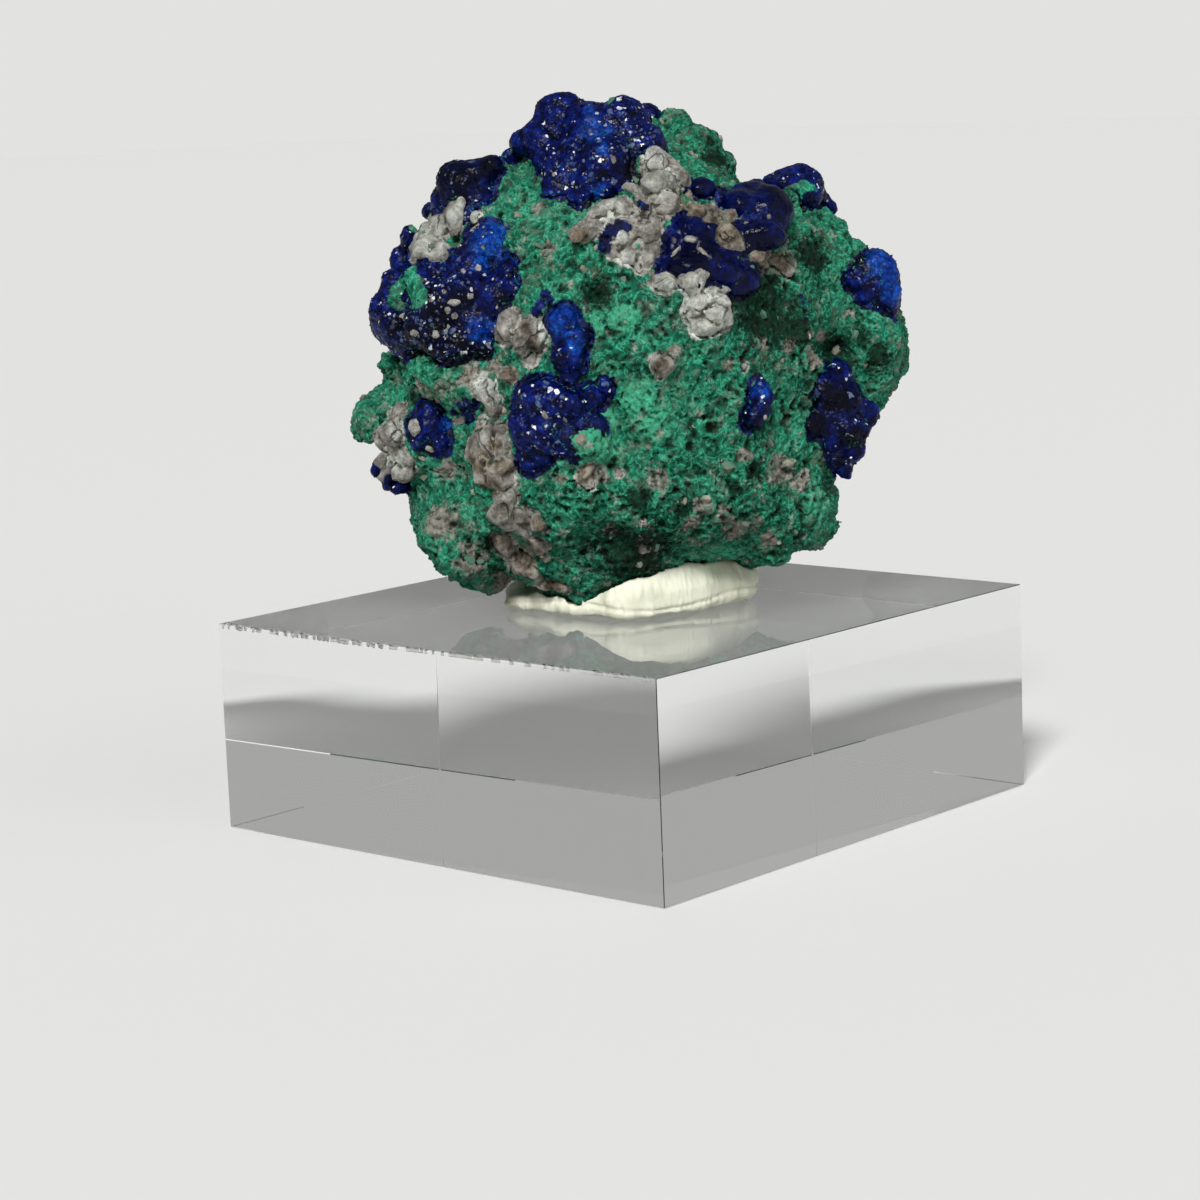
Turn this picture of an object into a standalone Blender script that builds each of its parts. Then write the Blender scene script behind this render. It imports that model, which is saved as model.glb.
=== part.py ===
# Azurite and malachite specimen, held with mineral tack on a clear acrylic block.
# The block's underside lies on Z = 0 with its centre at the origin. Its left-front face looks along -Y
# and its right-front face along +X. The specimen shows its display side to a direction 41.2 degrees
# round from -Y, and everything on the block is modelled in that turned frame: X across the display side,
# Y away from the viewer, Z up. Lengths below are millimetres, and MM turns them to metres.

import math
import random

import bmesh
import bpy
from mathutils import Matrix, Vector, noise
from mathutils.bvhtree import BVHTree

MM = 0.001

# Driving dimensions
BLOCK_EDGE = 55.0
BLOCK_HEIGHT = 20.0
BLOCK_BEVEL = 0.35
GAP = 0.3
DISPLAY_TURN = 41.2
HEART = Vector((1.9, 0.0, 45.0))
FAR_OUT = 60.0

# The lumps that the matrix grew from: centre (across, away, up) and half-sizes
LUMPS = {
    "heart": ((1.5, 0.0, 46.0), (20.0, 18.5, 18.5)),
    "lower_heart": ((1.0, -1.0, 36.0), (18.5, 16.5, 13.0)),
    "upper_left": ((-9.6, -0.5, 55.6), (7.0, 10.5, 7.0)),
    "crown_seat": ((-1.2, 0.0, 61.0), (7.2, 8.5, 6.4)),
    "back_top_lobe": ((7.4, 3.5, 61.6), (4.8, 5.5, 5.8)),
    "right_shoulder": ((14.8, 0.5, 53.0), (7.5, 10.5, 6.5)),
    "right_strip": ((20.6, -1.5, 52.2), (3.9, 5.0, 4.4)),
    "right_lobe": ((23.0, 2.5, 44.2), (5.7, 7.5, 7.6)),
    "right_waist": ((16.0, 0.0, 38.0), (6.0, 10.0, 7.0)),
    "left_flank": ((-13.8, -0.5, 47.5), (7.4, 11.5, 9.0)),
    "left_bump": ((-22.4, -1.0, 39.2), (2.9, 3.6, 3.6)),
    "left_waist": ((-16.6, 0.0, 37.0), (5.0, 9.0, 6.0)),
    "lower_left": ((-14.0, -1.5, 29.0), (6.2, 9.0, 7.0)),
    "lower_left_tip": ((-14.0, -1.5, 23.6), (2.9, 3.8, 2.9)),
    "lower_right": ((12.5, -1.0, 29.8), (9.0, 10.0, 6.3)),
    "right_tip": ((19.6, -2.0, 28.2), (2.4, 3.6, 2.8)),
    "foot": ((-2.5, -2.5, 26.6), (9.0, 9.5, 5.9)),
}
VOXEL = 0.9
MATRIX_TRIANGLES = 3700
KNOB_SIZE = 5.5
KNOB_HEIGHT = 2.5
GRAIN_SIZE = 2.6
GRAIN_HEIGHT = 0.9

# Hollows in the matrix: bearing and latitude from its heart, half-width, half-height and depth
HOLLOWS = {
    "under_the_strip": (-6, 21, 2.0, 1.1, 2.2),
    "below_the_double_ball": (44, 12, 3.6, 2.6, 2.4),
    "beside_the_right_lobe": (66, 2, 1.7, 2.4, 2.6),
    "beside_the_vein": (-58, -40, 1.1, 4.0, 2.2),
    "back_pit": (172, -6, 3.0, 2.2, 2.4),
    "back_upper_pit": (-165, 25, 2.4, 1.8, 2.0),
}

# Azurite crystal groups. Each is a patch of crystal balls on the matrix: the bearing and the latitude of
# its middle as seen from the heart, its width and height, its lean, its balls' radius and their number.
AZURITE = {
    "azurite_crown": (-22, 66, 17.0, 16.0, 0, 3.6, 10),
    "azurite_left_shoulder": (-76, 46, 9.5, 9.0, 0, 3.1, 6),
    "azurite_left_flank": (-62, 15, 19.5, 15.5, 0, 3.3, 13),
    "azurite_small_pair": (-19, 7, 5.6, 9.4, 0, 2.5, 3),
    "azurite_large_left": (-24, -19, 11.0, 11.4, -20, 3.0, 7),
    "azurite_lower_left": (-71, -17, 4.4, 6.0, 0, 1.9, 3),
    "azurite_beside_cap": (-54, -9, 3.0, 4.6, 0, 1.5, 2),
    "azurite_left_underside": (-86, -27, 4.6, 5.2, 0, 2.1, 3),
    "azurite_double_ball": (52, 41, 10.0, 6.6, -25, 3.1, 3),
    "azurite_right_back": (88, 42, 8.4, 7.0, 0, 3.3, 3),
    "azurite_glossy_band": (26, 28, 12.0, 7.4, -35, 2.4, 6),
    "azurite_far_right": (86, 13, 8.4, 9.6, 0, 3.2, 5),
    "azurite_right_lower": (78, -21, 10.6, 14.4, -15, 3.6, 7),
    "azurite_right_centre": (38, -14, 4.0, 5.8, 0, 1.9, 3),
    "azurite_back_upper": (168, 42, 15.0, 12.0, 20, 3.4, 8),
    "azurite_back_left": (-128, 6, 12.5, 13.5, 0, 3.3, 7),
    "azurite_back_right": (136, -4, 10.5, 10.0, 30, 3.1, 5),
    "azurite_back_low": (-172, -26, 7.4, 6.4, 0, 2.5, 4),
    "azurite_back_pair": (176, 12, 5.0, 6.4, 0, 2.5, 2),
}

# Pale host rock and quartz, as groups of broken lumps placed by the same seven values
PALE_ROCK = {
    "quartz_upper_chunk": (13, 50, 8.4, 12.0, 10, 2.9, 4),
    "quartz_bright_lumps": (-5, 37, 9.6, 8.2, 20, 2.7, 4),
    "quartz_grey_ledge": (32, 40, 8.0, 5.4, -10, 2.1, 3),
    "quartz_rough_ball": (22, 13, 5.8, 5.4, 0, 2.5, 2),
    "quartz_left_wedge": (-78, 27, 6.0, 7.6, 20, 2.8, 2),
    "quartz_shoulder_lumps": (-66, 36, 5.2, 4.0, 0, 1.9, 2),
    "quartz_blocky_crystal": (-31, 8, 5.6, 4.6, -10, 2.2, 2),
    "quartz_cap": (-46, -10, 4.4, 6.0, 0, 2.2, 2),
    "quartz_vein_top": (-50, -24, 4.6, 9.6, -12, 2.3, 3),
    "quartz_vein_foot": (-46, -46, 5.0, 12.4, -12, 2.4, 4),
    "quartz_left_low": (-79, -20, 4.8, 9.6, 0, 2.3, 3),
    "quartz_tan_prism": (-17, -34, 3.0, 3.0, 0, 1.5, 1),
    "quartz_oval_grain": (8, -1, 3.4, 3.4, 0, 1.7, 1),
    "quartz_back_chunk": (-152, 30, 8.4, 7.4, 15, 2.8, 3),
    "quartz_back_vein": (156, -28, 5.0, 11.0, -20, 2.5, 3),
    "quartz_side_lump": (112, -18, 5.4, 6.2, 0, 2.5, 2),
}
BALL_CORNERS = 18
BALL_SPREAD = 0.16
BALL_SINK = 0.1
CHUNK_CORNERS = 13
CHUNK_SPREAD = 0.3
CHUNK_SINK = 0.25
FACES_KEPT = 0.66


def clear_scene():
    for item in list(bpy.data.objects):
        bpy.data.objects.remove(item, do_unlink=True)


def surface(name, colour, roughness):
    made = bpy.data.materials.new(name)
    made.use_nodes = True
    shader = made.node_tree.nodes["Principled BSDF"]
    shader.inputs["Base Color"].default_value = (*colour, 1.0)
    shader.inputs["Roughness"].default_value = roughness
    shader.inputs["Metallic"].default_value = 0.0
    return made


def clear_plastic():
    made = surface("clear_acrylic", (0.95, 0.96, 0.96), 0.03)
    shader = made.node_tree.nodes["Principled BSDF"]
    shader.inputs["Transmission Weight"].default_value = 1.0
    shader.inputs["IOR"].default_value = 1.49
    return made


def add_solid(name, shape, finish, parent):
    """Turns a bmesh in millimetres into an object in metres."""
    bmesh.ops.scale(shape, vec=(MM, MM, MM), verts=shape.verts)
    bmesh.ops.recalc_face_normals(shape, faces=shape.faces)
    mesh = bpy.data.meshes.new(name)
    shape.to_mesh(mesh)
    shape.free()
    item = bpy.data.objects.new(name, mesh)
    bpy.context.scene.collection.objects.link(item)
    item.parent = parent
    if finish:
        mesh.materials.append(finish)
    return item


def settle(item):
    """Gives the object the mesh that its modifiers make."""
    bpy.context.view_layer.update()
    graph = bpy.context.evaluated_depsgraph_get()
    mesh = bpy.data.meshes.new_from_object(item.evaluated_get(graph))
    item.modifiers.clear()
    item.data = mesh


def keep_largest(item):
    """Removes crumbs that a cut has parted from the main body."""
    shape = bmesh.new()
    shape.from_mesh(item.data)
    left = set(shape.verts)
    islands = []
    while left:
        front = [left.pop()]
        island = set(front)
        while front:
            corner = front.pop()
            for edge in corner.link_edges:
                other = edge.other_vert(corner)
                if other in left:
                    left.remove(other)
                    island.add(other)
                    front.append(other)
        islands.append(island)
    islands.sort(key=len, reverse=True)
    for island in islands[1:]:
        bmesh.ops.delete(shape, geom=list(island), context="VERTS")
    shape.to_mesh(item.data)
    shape.free()


def combine(item, others, operation):
    """Joins the others to the item, or cuts them from it, and deletes them."""
    if not others:
        return
    for other in others:
        step = item.modifiers.new(operation.title(), "BOOLEAN")
        step.operation = operation
        step.solver = "EXACT"
        step.object = other
    settle(item)
    for other in others:
        bpy.data.objects.remove(other, do_unlink=True)
    if operation == "DIFFERENCE":
        keep_largest(item)


def outward(bearing, latitude):
    """The direction from the heart: bearing 0 is towards the viewer, and 90 to the viewer's right."""
    turn = math.radians(bearing)
    lift = math.radians(latitude)
    return Vector((math.sin(turn) * math.cos(lift), -math.cos(turn) * math.cos(lift), math.sin(lift)))


def seat(surface_tree, direction):
    """Where a line from far outside to the heart meets the matrix."""
    start = HEART + direction * FAR_OUT
    return surface_tree.ray_cast(start, -direction)[0]


def tangents(direction, lean):
    """Axes to the viewer's right and up along the surface, leaned clockwise by some degrees."""
    right = Vector((0.0, 0.0, 1.0)).cross(direction)
    right.normalize()
    up = direction.cross(right)
    spin = Matrix.Rotation(math.radians(-lean), 3, direction)
    return spin @ right, spin @ up


def sunflower(count, width, height):
    """Evenly spread places on an oval."""
    golden = math.pi * (3.0 - math.sqrt(5.0))
    for i in range(count):
        reach = math.sqrt((i + 0.5) / count) if count > 1 else 0.0
        yield reach * math.cos(i * golden) * width / 2.0, reach * math.sin(i * golden) * height / 2.0


def shaken_corners(draw, count, spread):
    """Corners spread evenly on a unit sphere and then shaken, whose hull has flat faces."""
    golden = math.pi * (3.0 - math.sqrt(5.0))
    corners = []
    for i in range(count):
        height = 1.0 - 2.0 * (i + 0.5) / count
        reach = math.sqrt(1.0 - height * height)
        corner = Vector((reach * math.cos(i * golden), reach * math.sin(i * golden), height))
        corner += Vector([draw.uniform(-spread, spread) for _ in range(3)])
        corners.append(corner)
    return corners


def crystal_ball(draw, radius):
    """A ball of azurite: its half-sizes and its corners."""
    corners = [corner.normalized() for corner in shaken_corners(draw, BALL_CORNERS, BALL_SPREAD)]
    return Vector((radius, radius, radius)), corners


def rock_chunk(draw, radius):
    """A broken lump of rock, longer one way than the other."""
    half = Vector((radius * draw.uniform(0.9, 1.3), radius * draw.uniform(0.8, 1.1), radius))
    return half, shaken_corners(draw, CHUNK_CORNERS, CHUNK_SPREAD)


def group_bodies(surface_tree, place, form, sink, seed):
    """The bodies of one group: each is a place, three half-sizes and its corners."""
    bearing, latitude, width, height, lean, radius, count = place
    draw = random.Random(seed)
    direction = outward(bearing, latitude)
    middle = seat(surface_tree, direction)
    right, up = tangents(direction, lean)
    axes = Matrix((right, up, direction)).transposed().to_4x4()
    bodies = []
    for x, y in sunflower(count, width - 2.0 * radius, height - 2.0 * radius):
        size = radius * draw.uniform(0.85, 1.15)
        aim = (middle + right * x + up * y - HEART).normalized()
        centre = seat(surface_tree, aim) - aim * size * sink
        spin = Matrix.Rotation(draw.uniform(0.0, math.tau), 4, direction)
        half, corners = form(draw, size)
        bodies.append((Matrix.Translation(centre) @ spin @ axes, half, corners))
    return bodies


def group_solid(name, bodies, swell, finish, frame):
    """One solid of the bodies grown together, each swollen by some millimetres."""
    solids = []
    for place, half, corners in bodies:
        shape = bmesh.new()
        grown = half + Vector((swell, swell, swell))
        for corner in corners:
            shape.verts.new(place @ (corner * grown))
        hull = bmesh.ops.convex_hull(shape, input=shape.verts)
        inside = [part for part in hull["geom_interior"] if isinstance(part, bmesh.types.BMVert)]
        bmesh.ops.delete(shape, geom=inside, context="VERTS")
        solids.append(add_solid(name, shape, finish, frame))
    first, rest = solids[0], solids[1:]
    combine(first, rest, "UNION")
    first.name = name
    keep_largest(first)
    return first


def reach(item):
    """The lowest and highest corner of an object's own mesh."""
    places = [corner.co for corner in item.data.vertices]
    low = Vector([min(place[i] for place in places) for i in range(3)])
    high = Vector([max(place[i] for place in places) for i in range(3)])
    return low, high


def near(item, other):
    low, high = reach(item)
    other_low, other_high = reach(other)
    return all(low[i] <= other_high[i] and other_low[i] <= high[i] for i in range(3))


def copy_of(item):
    copied = item.copy()
    copied.data = item.data.copy()
    bpy.context.scene.collection.objects.link(copied)
    return copied


def knobs(place, size):
    """Rounded bumps with creases between them: 1 at a bump's top, 0 or less in the creases."""
    distances, _ = noise.voronoi(place / size)
    return 1.0 - 1.4 * distances[0]


def hollow_place(tree, bearing, latitude, half_width, half_height, depth):
    direction = outward(bearing, latitude)
    right, up = tangents(direction, 0.0)
    return seat(tree, direction), right, up, direction, half_width, half_height, depth


def roughen(item):
    """Pushes the surface in and out by coarse knobs and finer grains."""
    tree = tree_of(item)
    hollows = [hollow_place(tree, *values) for values in HOLLOWS.values()]
    for corner in item.data.vertices:
        place = corner.co / MM
        coarse = KNOB_HEIGHT * (knobs(place, KNOB_SIZE) - 0.5)
        fine = GRAIN_HEIGHT * (knobs(place + Vector((40.0, 0.0, 0.0)), GRAIN_SIZE) - 0.5)
        dip = 0.0
        for middle, right, up, direction, half_width, half_height, depth in hollows:
            span = place - middle
            off = Vector((span.dot(right) / half_width, span.dot(up) / half_height)).length
            if off < 1.0 and span.dot(direction) > -2.0 * depth:
                dip = max(dip, depth * (1.0 - off * off))
        corner.co += corner.normal * (coarse + fine - dip) * MM
        corner.co.z = max(corner.co.z, (BLOCK_HEIGHT + 2.0 * GAP) * MM)


def remesh(item):
    shaped = item.modifiers.new("Remesh", "REMESH")
    shaped.mode = "VOXEL"
    shaped.voxel_size = VOXEL * MM
    settle(item)


def matrix_body(frame, finish):
    shape = bmesh.new()
    for centre, half in LUMPS.values():
        place = Matrix.Translation(centre) @ Matrix.Diagonal((*half, 1.0))
        bmesh.ops.create_icosphere(shape, subdivisions=4, radius=1.0, matrix=place)
    item = add_solid("malachite_matrix", shape, finish, frame)
    remesh(item)
    roughen(item)
    remesh(item)
    item.data.calc_loop_triangles()
    thin_out(item, MATRIX_TRIANGLES / len(item.data.loop_triangles))
    item.data.materials.clear()
    item.data.materials.append(finish)
    return item


def tree_of(item):
    corners = [corner.co / MM for corner in item.data.vertices]
    return BVHTree.FromPolygons(corners, [face.vertices[:] for face in item.data.polygons])


def thin_out(item, share):
    """Keeps a share of the triangles, giving up those that shape the surface least."""
    item.modifiers.new("Triangulate", "TRIANGULATE")
    fewer = item.modifiers.new("Decimate", "DECIMATE")
    fewer.ratio = share
    settle(item)


# Mineral tack: its reach from its middle every 30 degrees, anticlockwise from the viewer's right,
# and how high it is pressed up at each of these
TACK_MIDDLE = Vector((0.8, -0.6, BLOCK_HEIGHT))
TACK_REACH = (12.2, 11.0, 10.0, 9.6, 10.8, 13.0, 12.0, 8.9, 8.4, 9.8, 9.0, 9.4)
TACK_TOP = (4.6, 3.8, 3.4, 3.4, 3.0, 2.4, 1.4, 3.0, 3.6, 4.4, 5.4, 5.4)
TACK_RINGS = ((0.96, 0.0), (1.0, 0.12), (1.02, 0.45), (0.97, 0.8), (0.86, 1.0), (0.5, 0.9))
TACK_SIDES = 28
TACK_DISH = 0.75


def ring_value(values, angle):
    """A value between two of those given round the ring, blended smoothly."""
    place = angle / math.tau * len(values)
    first = int(place) % len(values)
    second = (first + 1) % len(values)
    share = place - math.floor(place)
    share = share * share * (3.0 - 2.0 * share)
    return values[first] * (1.0 - share) + values[second] * share


def tack_solid(name, finish, frame):
    shape = bmesh.new()
    rings = []
    for out, lift in TACK_RINGS:
        ring = []
        for i in range(TACK_SIDES):
            angle = math.tau * i / TACK_SIDES
            span = ring_value(TACK_REACH, angle) * out
            rise = GAP + (ring_value(TACK_TOP, angle) - GAP) * lift
            place = Vector((span * math.cos(angle), span * math.sin(angle), rise))
            ring.append(shape.verts.new(TACK_MIDDLE + place))
        rings.append(ring)
    for lower, upper in zip(rings, rings[1:]):
        for i in range(TACK_SIDES):
            j = (i + 1) % TACK_SIDES
            shape.faces.new((lower[i], lower[j], upper[j], upper[i]))
    shape.faces.new(list(reversed(rings[0])))
    top = shape.verts.new(TACK_MIDDLE + Vector((0.0, 0.0, sum(TACK_TOP) / len(TACK_TOP) * TACK_DISH)))
    for i in range(TACK_SIDES):
        shape.faces.new((rings[-1][i], rings[-1][(i + 1) % TACK_SIDES], top))
    return add_solid(name, shape, finish, frame)


def acrylic_base(finish):
    shape = bmesh.new()
    size = Matrix.Diagonal((BLOCK_EDGE, BLOCK_EDGE, BLOCK_HEIGHT, 1.0))
    place = Matrix.Translation((0.0, 0.0, BLOCK_HEIGHT / 2.0)) @ size
    bmesh.ops.create_cube(shape, size=1.0, matrix=place)
    bmesh.ops.bevel(shape, geom=shape.edges[:], offset=BLOCK_BEVEL, segments=1, affect="EDGES")
    return add_solid("acrylic_base", shape, finish, None)


def swollen_copy(item, swell):
    """A copy whose surface lies some millimetres further out."""
    grown = copy_of(item)
    pushes = [corner.normal * swell * MM for corner in grown.data.vertices]
    for corner, push in zip(grown.data.vertices, pushes):
        corner.co += push
    return grown


def grow_groups(groups, form, sink, finish, matrix, seated, frame):
    """Makes each group, cut back to the matrix and to the groups seated before it."""
    tree = tree_of(matrix)
    for seed, (name, place) in enumerate(groups.items(), start=len(seated)):
        bodies = group_bodies(tree, place, form, sink, seed)
        item = group_solid(name, bodies, 0.0, finish, frame)
        touching = [other for other in seated if near(item, other)]
        combine(item, [copy_of(other) for other in touching], "DIFFERENCE")
        thin_out(item, FACES_KEPT)
        seated.append(group_solid(name + "_room", bodies, GAP, None, frame))


def main():
    clear_scene()
    frame = bpy.data.objects.new("display_frame", None)
    bpy.context.scene.collection.objects.link(frame)
    frame.rotation_euler.z = math.radians(DISPLAY_TURN)

    acrylic_base(clear_plastic())
    matrix = matrix_body(frame, surface("malachite", (0.045, 0.30, 0.17), 0.8))
    seated = [swollen_copy(matrix, GAP)]

    tack = tack_solid("mineral_tack", surface("mineral_tack_putty", (0.78, 0.74, 0.64), 0.55), frame)
    combine(tack, [copy_of(seated[0])], "DIFFERENCE")
    seated.append(swollen_copy(tack, GAP))

    pale = surface("pale_host_rock", (0.52, 0.48, 0.42), 0.7)
    grow_groups(PALE_ROCK, rock_chunk, CHUNK_SINK, pale, matrix, seated, frame)
    blue = surface("azurite", (0.004, 0.012, 0.26), 0.35)
    grow_groups(AZURITE, crystal_ball, BALL_SINK, blue, matrix, seated, frame)
    for item in seated:
        bpy.data.objects.remove(item, do_unlink=True)


main()
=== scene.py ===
import itertools
import math

import bpy
import numpy as np
from mathutils import Matrix, Quaternion, Vector, noise
from mathutils.bvhtree import BVHTree


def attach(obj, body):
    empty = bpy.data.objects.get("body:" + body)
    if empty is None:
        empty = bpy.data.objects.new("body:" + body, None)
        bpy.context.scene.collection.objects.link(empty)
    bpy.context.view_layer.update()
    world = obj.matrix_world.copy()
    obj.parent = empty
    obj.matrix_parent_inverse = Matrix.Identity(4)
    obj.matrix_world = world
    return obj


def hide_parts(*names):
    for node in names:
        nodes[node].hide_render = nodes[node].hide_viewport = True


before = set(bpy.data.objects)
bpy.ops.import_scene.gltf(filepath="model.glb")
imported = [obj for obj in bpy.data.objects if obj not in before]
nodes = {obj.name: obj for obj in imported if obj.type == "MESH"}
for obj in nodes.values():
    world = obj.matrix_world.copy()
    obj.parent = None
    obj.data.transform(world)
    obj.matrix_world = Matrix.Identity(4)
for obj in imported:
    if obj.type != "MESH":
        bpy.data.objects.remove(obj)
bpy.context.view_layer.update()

# Azurite and malachite specimen on a clear acrylic block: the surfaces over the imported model.
# Sizes are in millimetres and times mm they are Blender's metres.

mm = 0.001

photo = {
    "width": 1200,  # pixels
    "place": (195.99, -224.135, 70.123),  # where it was taken from
    "turn": (80.522, 2.229, 41.208),  # degrees
    "lens": 93.735,
    "sensor": 36,
    "nearest": 10,  # nothing closer than this is drawn
    "pixelsPerMm": 10.46,  # at the specimen
    "search": 25,  # how far before and behind the heart a line of sight is searched
    "outside": 100,  # a distance that is clear of the specimen
}


def makeCamera():
    # the photograph's own viewpoint and angle of view
    place = Vector(photo["place"]) * mm
    turn = [math.radians(angle) for angle in photo["turn"]]
    bpy.ops.object.camera_add(location=place, rotation=turn)
    camera = bpy.context.object
    camera.name = "photoCamera"
    camera.data.lens = photo["lens"]
    camera.data.sensor_width = photo["sensor"]
    camera.data.sensor_fit = "HORIZONTAL"
    camera.data.clip_start = photo["nearest"] * mm
    bpy.context.scene.camera = camera
    return camera


light = {
    "sky": 0.25,  # how bright it is for the object
    "skyThroughBlock": 0.4,
    "backdrop": 0.83,
    "skyColour": "F6F6F4",
    "sunPower": 3.3,
    "sunWidth": 14,  # degrees across: small enough for sharp glints
    "sunBearing": -12,  # degrees from the camera's side, left is negative
    "sunHeight": 38,
    "fillPower": 0.45,
    "fillWidth": 60,
    "fillBearing": 55,
    "fillHeight": 25,
    "floorColour": "ECECEA",
    "floorWidth": 6000,
    "floorGap": 0.05,
    "lampsAway": 400,
}

displayTurn = 41.2  # degrees from the block's own axes to the way that it is shown
heart = Vector((1.9, 0, 45)) * mm  # the middle of the specimen


def towards(bearing, height):
    # direction out of the heart: bearing 0 faces the viewer, 90 is the viewer's right
    turn, rise = math.radians(bearing + displayTurn), math.radians(height)
    return Vector(
        (math.sin(turn) * math.cos(rise), -math.cos(turn) * math.cos(rise), math.sin(rise))
    )


def linear(hexColour):
    # an sRGB hex colour as the linear values that Blender's sockets take
    parts = [int(hexColour[i : i + 2], 16) / 255 for i in (0, 2, 4)]
    return tuple(p / 12.92 if p <= 0.04045 else ((p + 0.055) / 1.055) ** 2.4 for p in parts) + (1,)


def addNode(tree, kind, settings={}, inputs={}, stops=()):
    # one shader node: a socket given as input is linked, and anything else is its value
    node = tree.nodes.new("ShaderNode" + kind)
    for name, value in settings.items():
        setattr(node, name, value)
    for key, value in inputs.items():
        if isinstance(value, bpy.types.NodeSocket):
            tree.links.new(value, node.inputs[key])
        else:
            node.inputs[key].default_value = value
    for position, hexColour in stops:
        ramp = node.color_ramp.elements
        stop = ramp.new(position)
        stop.color = linear(hexColour)
    if stops:
        ramp.remove(ramp[0])
        ramp.remove(ramp[-1])
    return node


def newMaterial(name):
    material = bpy.data.materials.new(name)
    material.use_nodes = True
    tree = material.node_tree
    tree.nodes.clear()
    coords = addNode(tree, "TexCoord").outputs["Object"]
    return material, tree, coords


def finishMaterial(material, inputs):
    tree = material.node_tree
    shader = addNode(tree, "BsdfPrincipled", {}, inputs)
    addNode(tree, "OutputMaterial", {}, {"Surface": shader.outputs[0]})
    return material


def per(size):
    # the Scale of a texture whose pattern has this size in millimetres
    return 1 / (size * mm)


def deselectAll():
    bpy.ops.object.select_all(action="DESELECT")


def activate(piece):
    deselectAll()
    piece.select_set(True)
    bpy.context.view_layer.objects.active = piece


weld = 0.002  # points closer than this are one
cutWeld = 1e-7  # metres: a cut through a mesh leaves even the closest points apart


def copyOfNode(node, name):
    # the CAD node's shape as a new piece, its loose triangles joined up
    mesh = nodes[node].data.copy()
    mesh.name = name
    mesh.materials.clear()
    piece = bpy.data.objects.new(name, mesh)
    bpy.context.scene.collection.objects.link(piece)
    activate(piece)
    bpy.ops.object.mode_set(mode="EDIT")
    bpy.ops.mesh.select_all(action="SELECT")
    bpy.ops.mesh.remove_doubles(threshold=weld * mm)
    bpy.ops.object.mode_set(mode="OBJECT")
    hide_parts(node)
    return piece


def modify(piece, kind, **settings):
    # adds a modifier and applies it
    activate(piece)
    modifier = piece.modifiers.new(kind, kind)
    for name, value in settings.items():
        setattr(modifier, name, value)
    bpy.ops.object.modifier_apply(modifier=modifier.name)


def remesh(piece, voxel):
    modify(piece, "REMESH", mode="VOXEL", voxel_size=voxel * mm, adaptivity=0)


def relief(piece, kind, size, height, middle=0.5, group="", **settings):
    # moves the surface in and out by a texture whose pattern has this size
    texture = bpy.data.textures.new(kind, kind)
    texture.noise_scale = size * mm
    for name, value in settings.items():
        setattr(texture, name, value)
    modify(
        piece,
        "DISPLACE",
        texture=texture,
        strength=height * mm,
        mid_level=middle,
        vertex_group=group,
        texture_coords="LOCAL",
    )
    bpy.data.textures.remove(texture)


def grow(piece, depth):
    modify(piece, "DISPLACE", strength=depth * mm, mid_level=0)


def pointsOf(piece, what="co"):
    mesh = piece.data
    found = np.empty(len(mesh.vertices) * 3, np.float32)
    if what == "co":
        mesh.vertices.foreach_get("co", found)
    else:
        mesh.vertex_normals.foreach_get("vector", found)
    return found.reshape(-1, 3)


def setPoints(piece, points):
    piece.data.vertices.foreach_set("co", np.ascontiguousarray(points, np.float32).ravel())
    piece.data.update()


def giveAttribute(piece, name, values):
    attribute = piece.data.attributes.new(name, "FLOAT", "POINT")
    attribute.data.foreach_set("value", np.ascontiguousarray(values, np.float32))


def treeOf(pieces):
    points, faces = [], []
    for piece in pieces:
        start = len(points)
        points += [v.co.copy() for v in piece.data.vertices]
        faces += [[start + i for i in p.vertices] for p in piece.data.polygons]
    return BVHTree.FromPolygons(points, faces)


def facesOf(pieces):
    return sum(len(piece.data.polygons) for piece in pieces)


def joinTo(piece, others):
    activate(piece)
    for other in others:
        other.select_set(True)
    bpy.ops.object.join()


def dress(piece, material):
    piece.data.materials.clear()
    piece.data.materials.append(material)
    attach(piece, "root")


camera = makeCamera()
bpy.context.view_layer.update()

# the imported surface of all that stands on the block
surface = treeOf([node for name, node in nodes.items() if name != "acrylic_base"])


def aimAt(x, y):
    # the way that this pixel of the photograph looks
    middle = photo["width"] / 2
    step = photo["sensor"] / photo["width"]
    aim = Vector(((x - middle) * step, (middle - y) * step, -photo["lens"]))
    aim.rotate(camera.rotation_euler)
    return aim.normalized()


def spotAt(x, y, built=None):
    # the point of the specimen at this pixel, or where the line of sight passes closest to it
    way = aimAt(x, y)
    place = surface.ray_cast(camera.location, way)[0]
    front = built and built.ray_cast(camera.location, way)[0]
    if front and (not place or (front - place).dot(way) < 0):
        return front
    if place is None:
        reach = (heart - camera.location).length
        around = range(-photo["search"], photo["search"] + 1)
        steps = [camera.location + way * (reach + step * mm) for step in around]
        place = min(steps, key=lambda point: surface.find_nearest(point)[3])
    return place


def spotFacing(bearing, height):
    # the point of the specimen that faces this way
    way = towards(bearing, height)
    return surface.ray_cast(heart + way * (photo["outside"] * mm), -way)[0]


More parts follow.
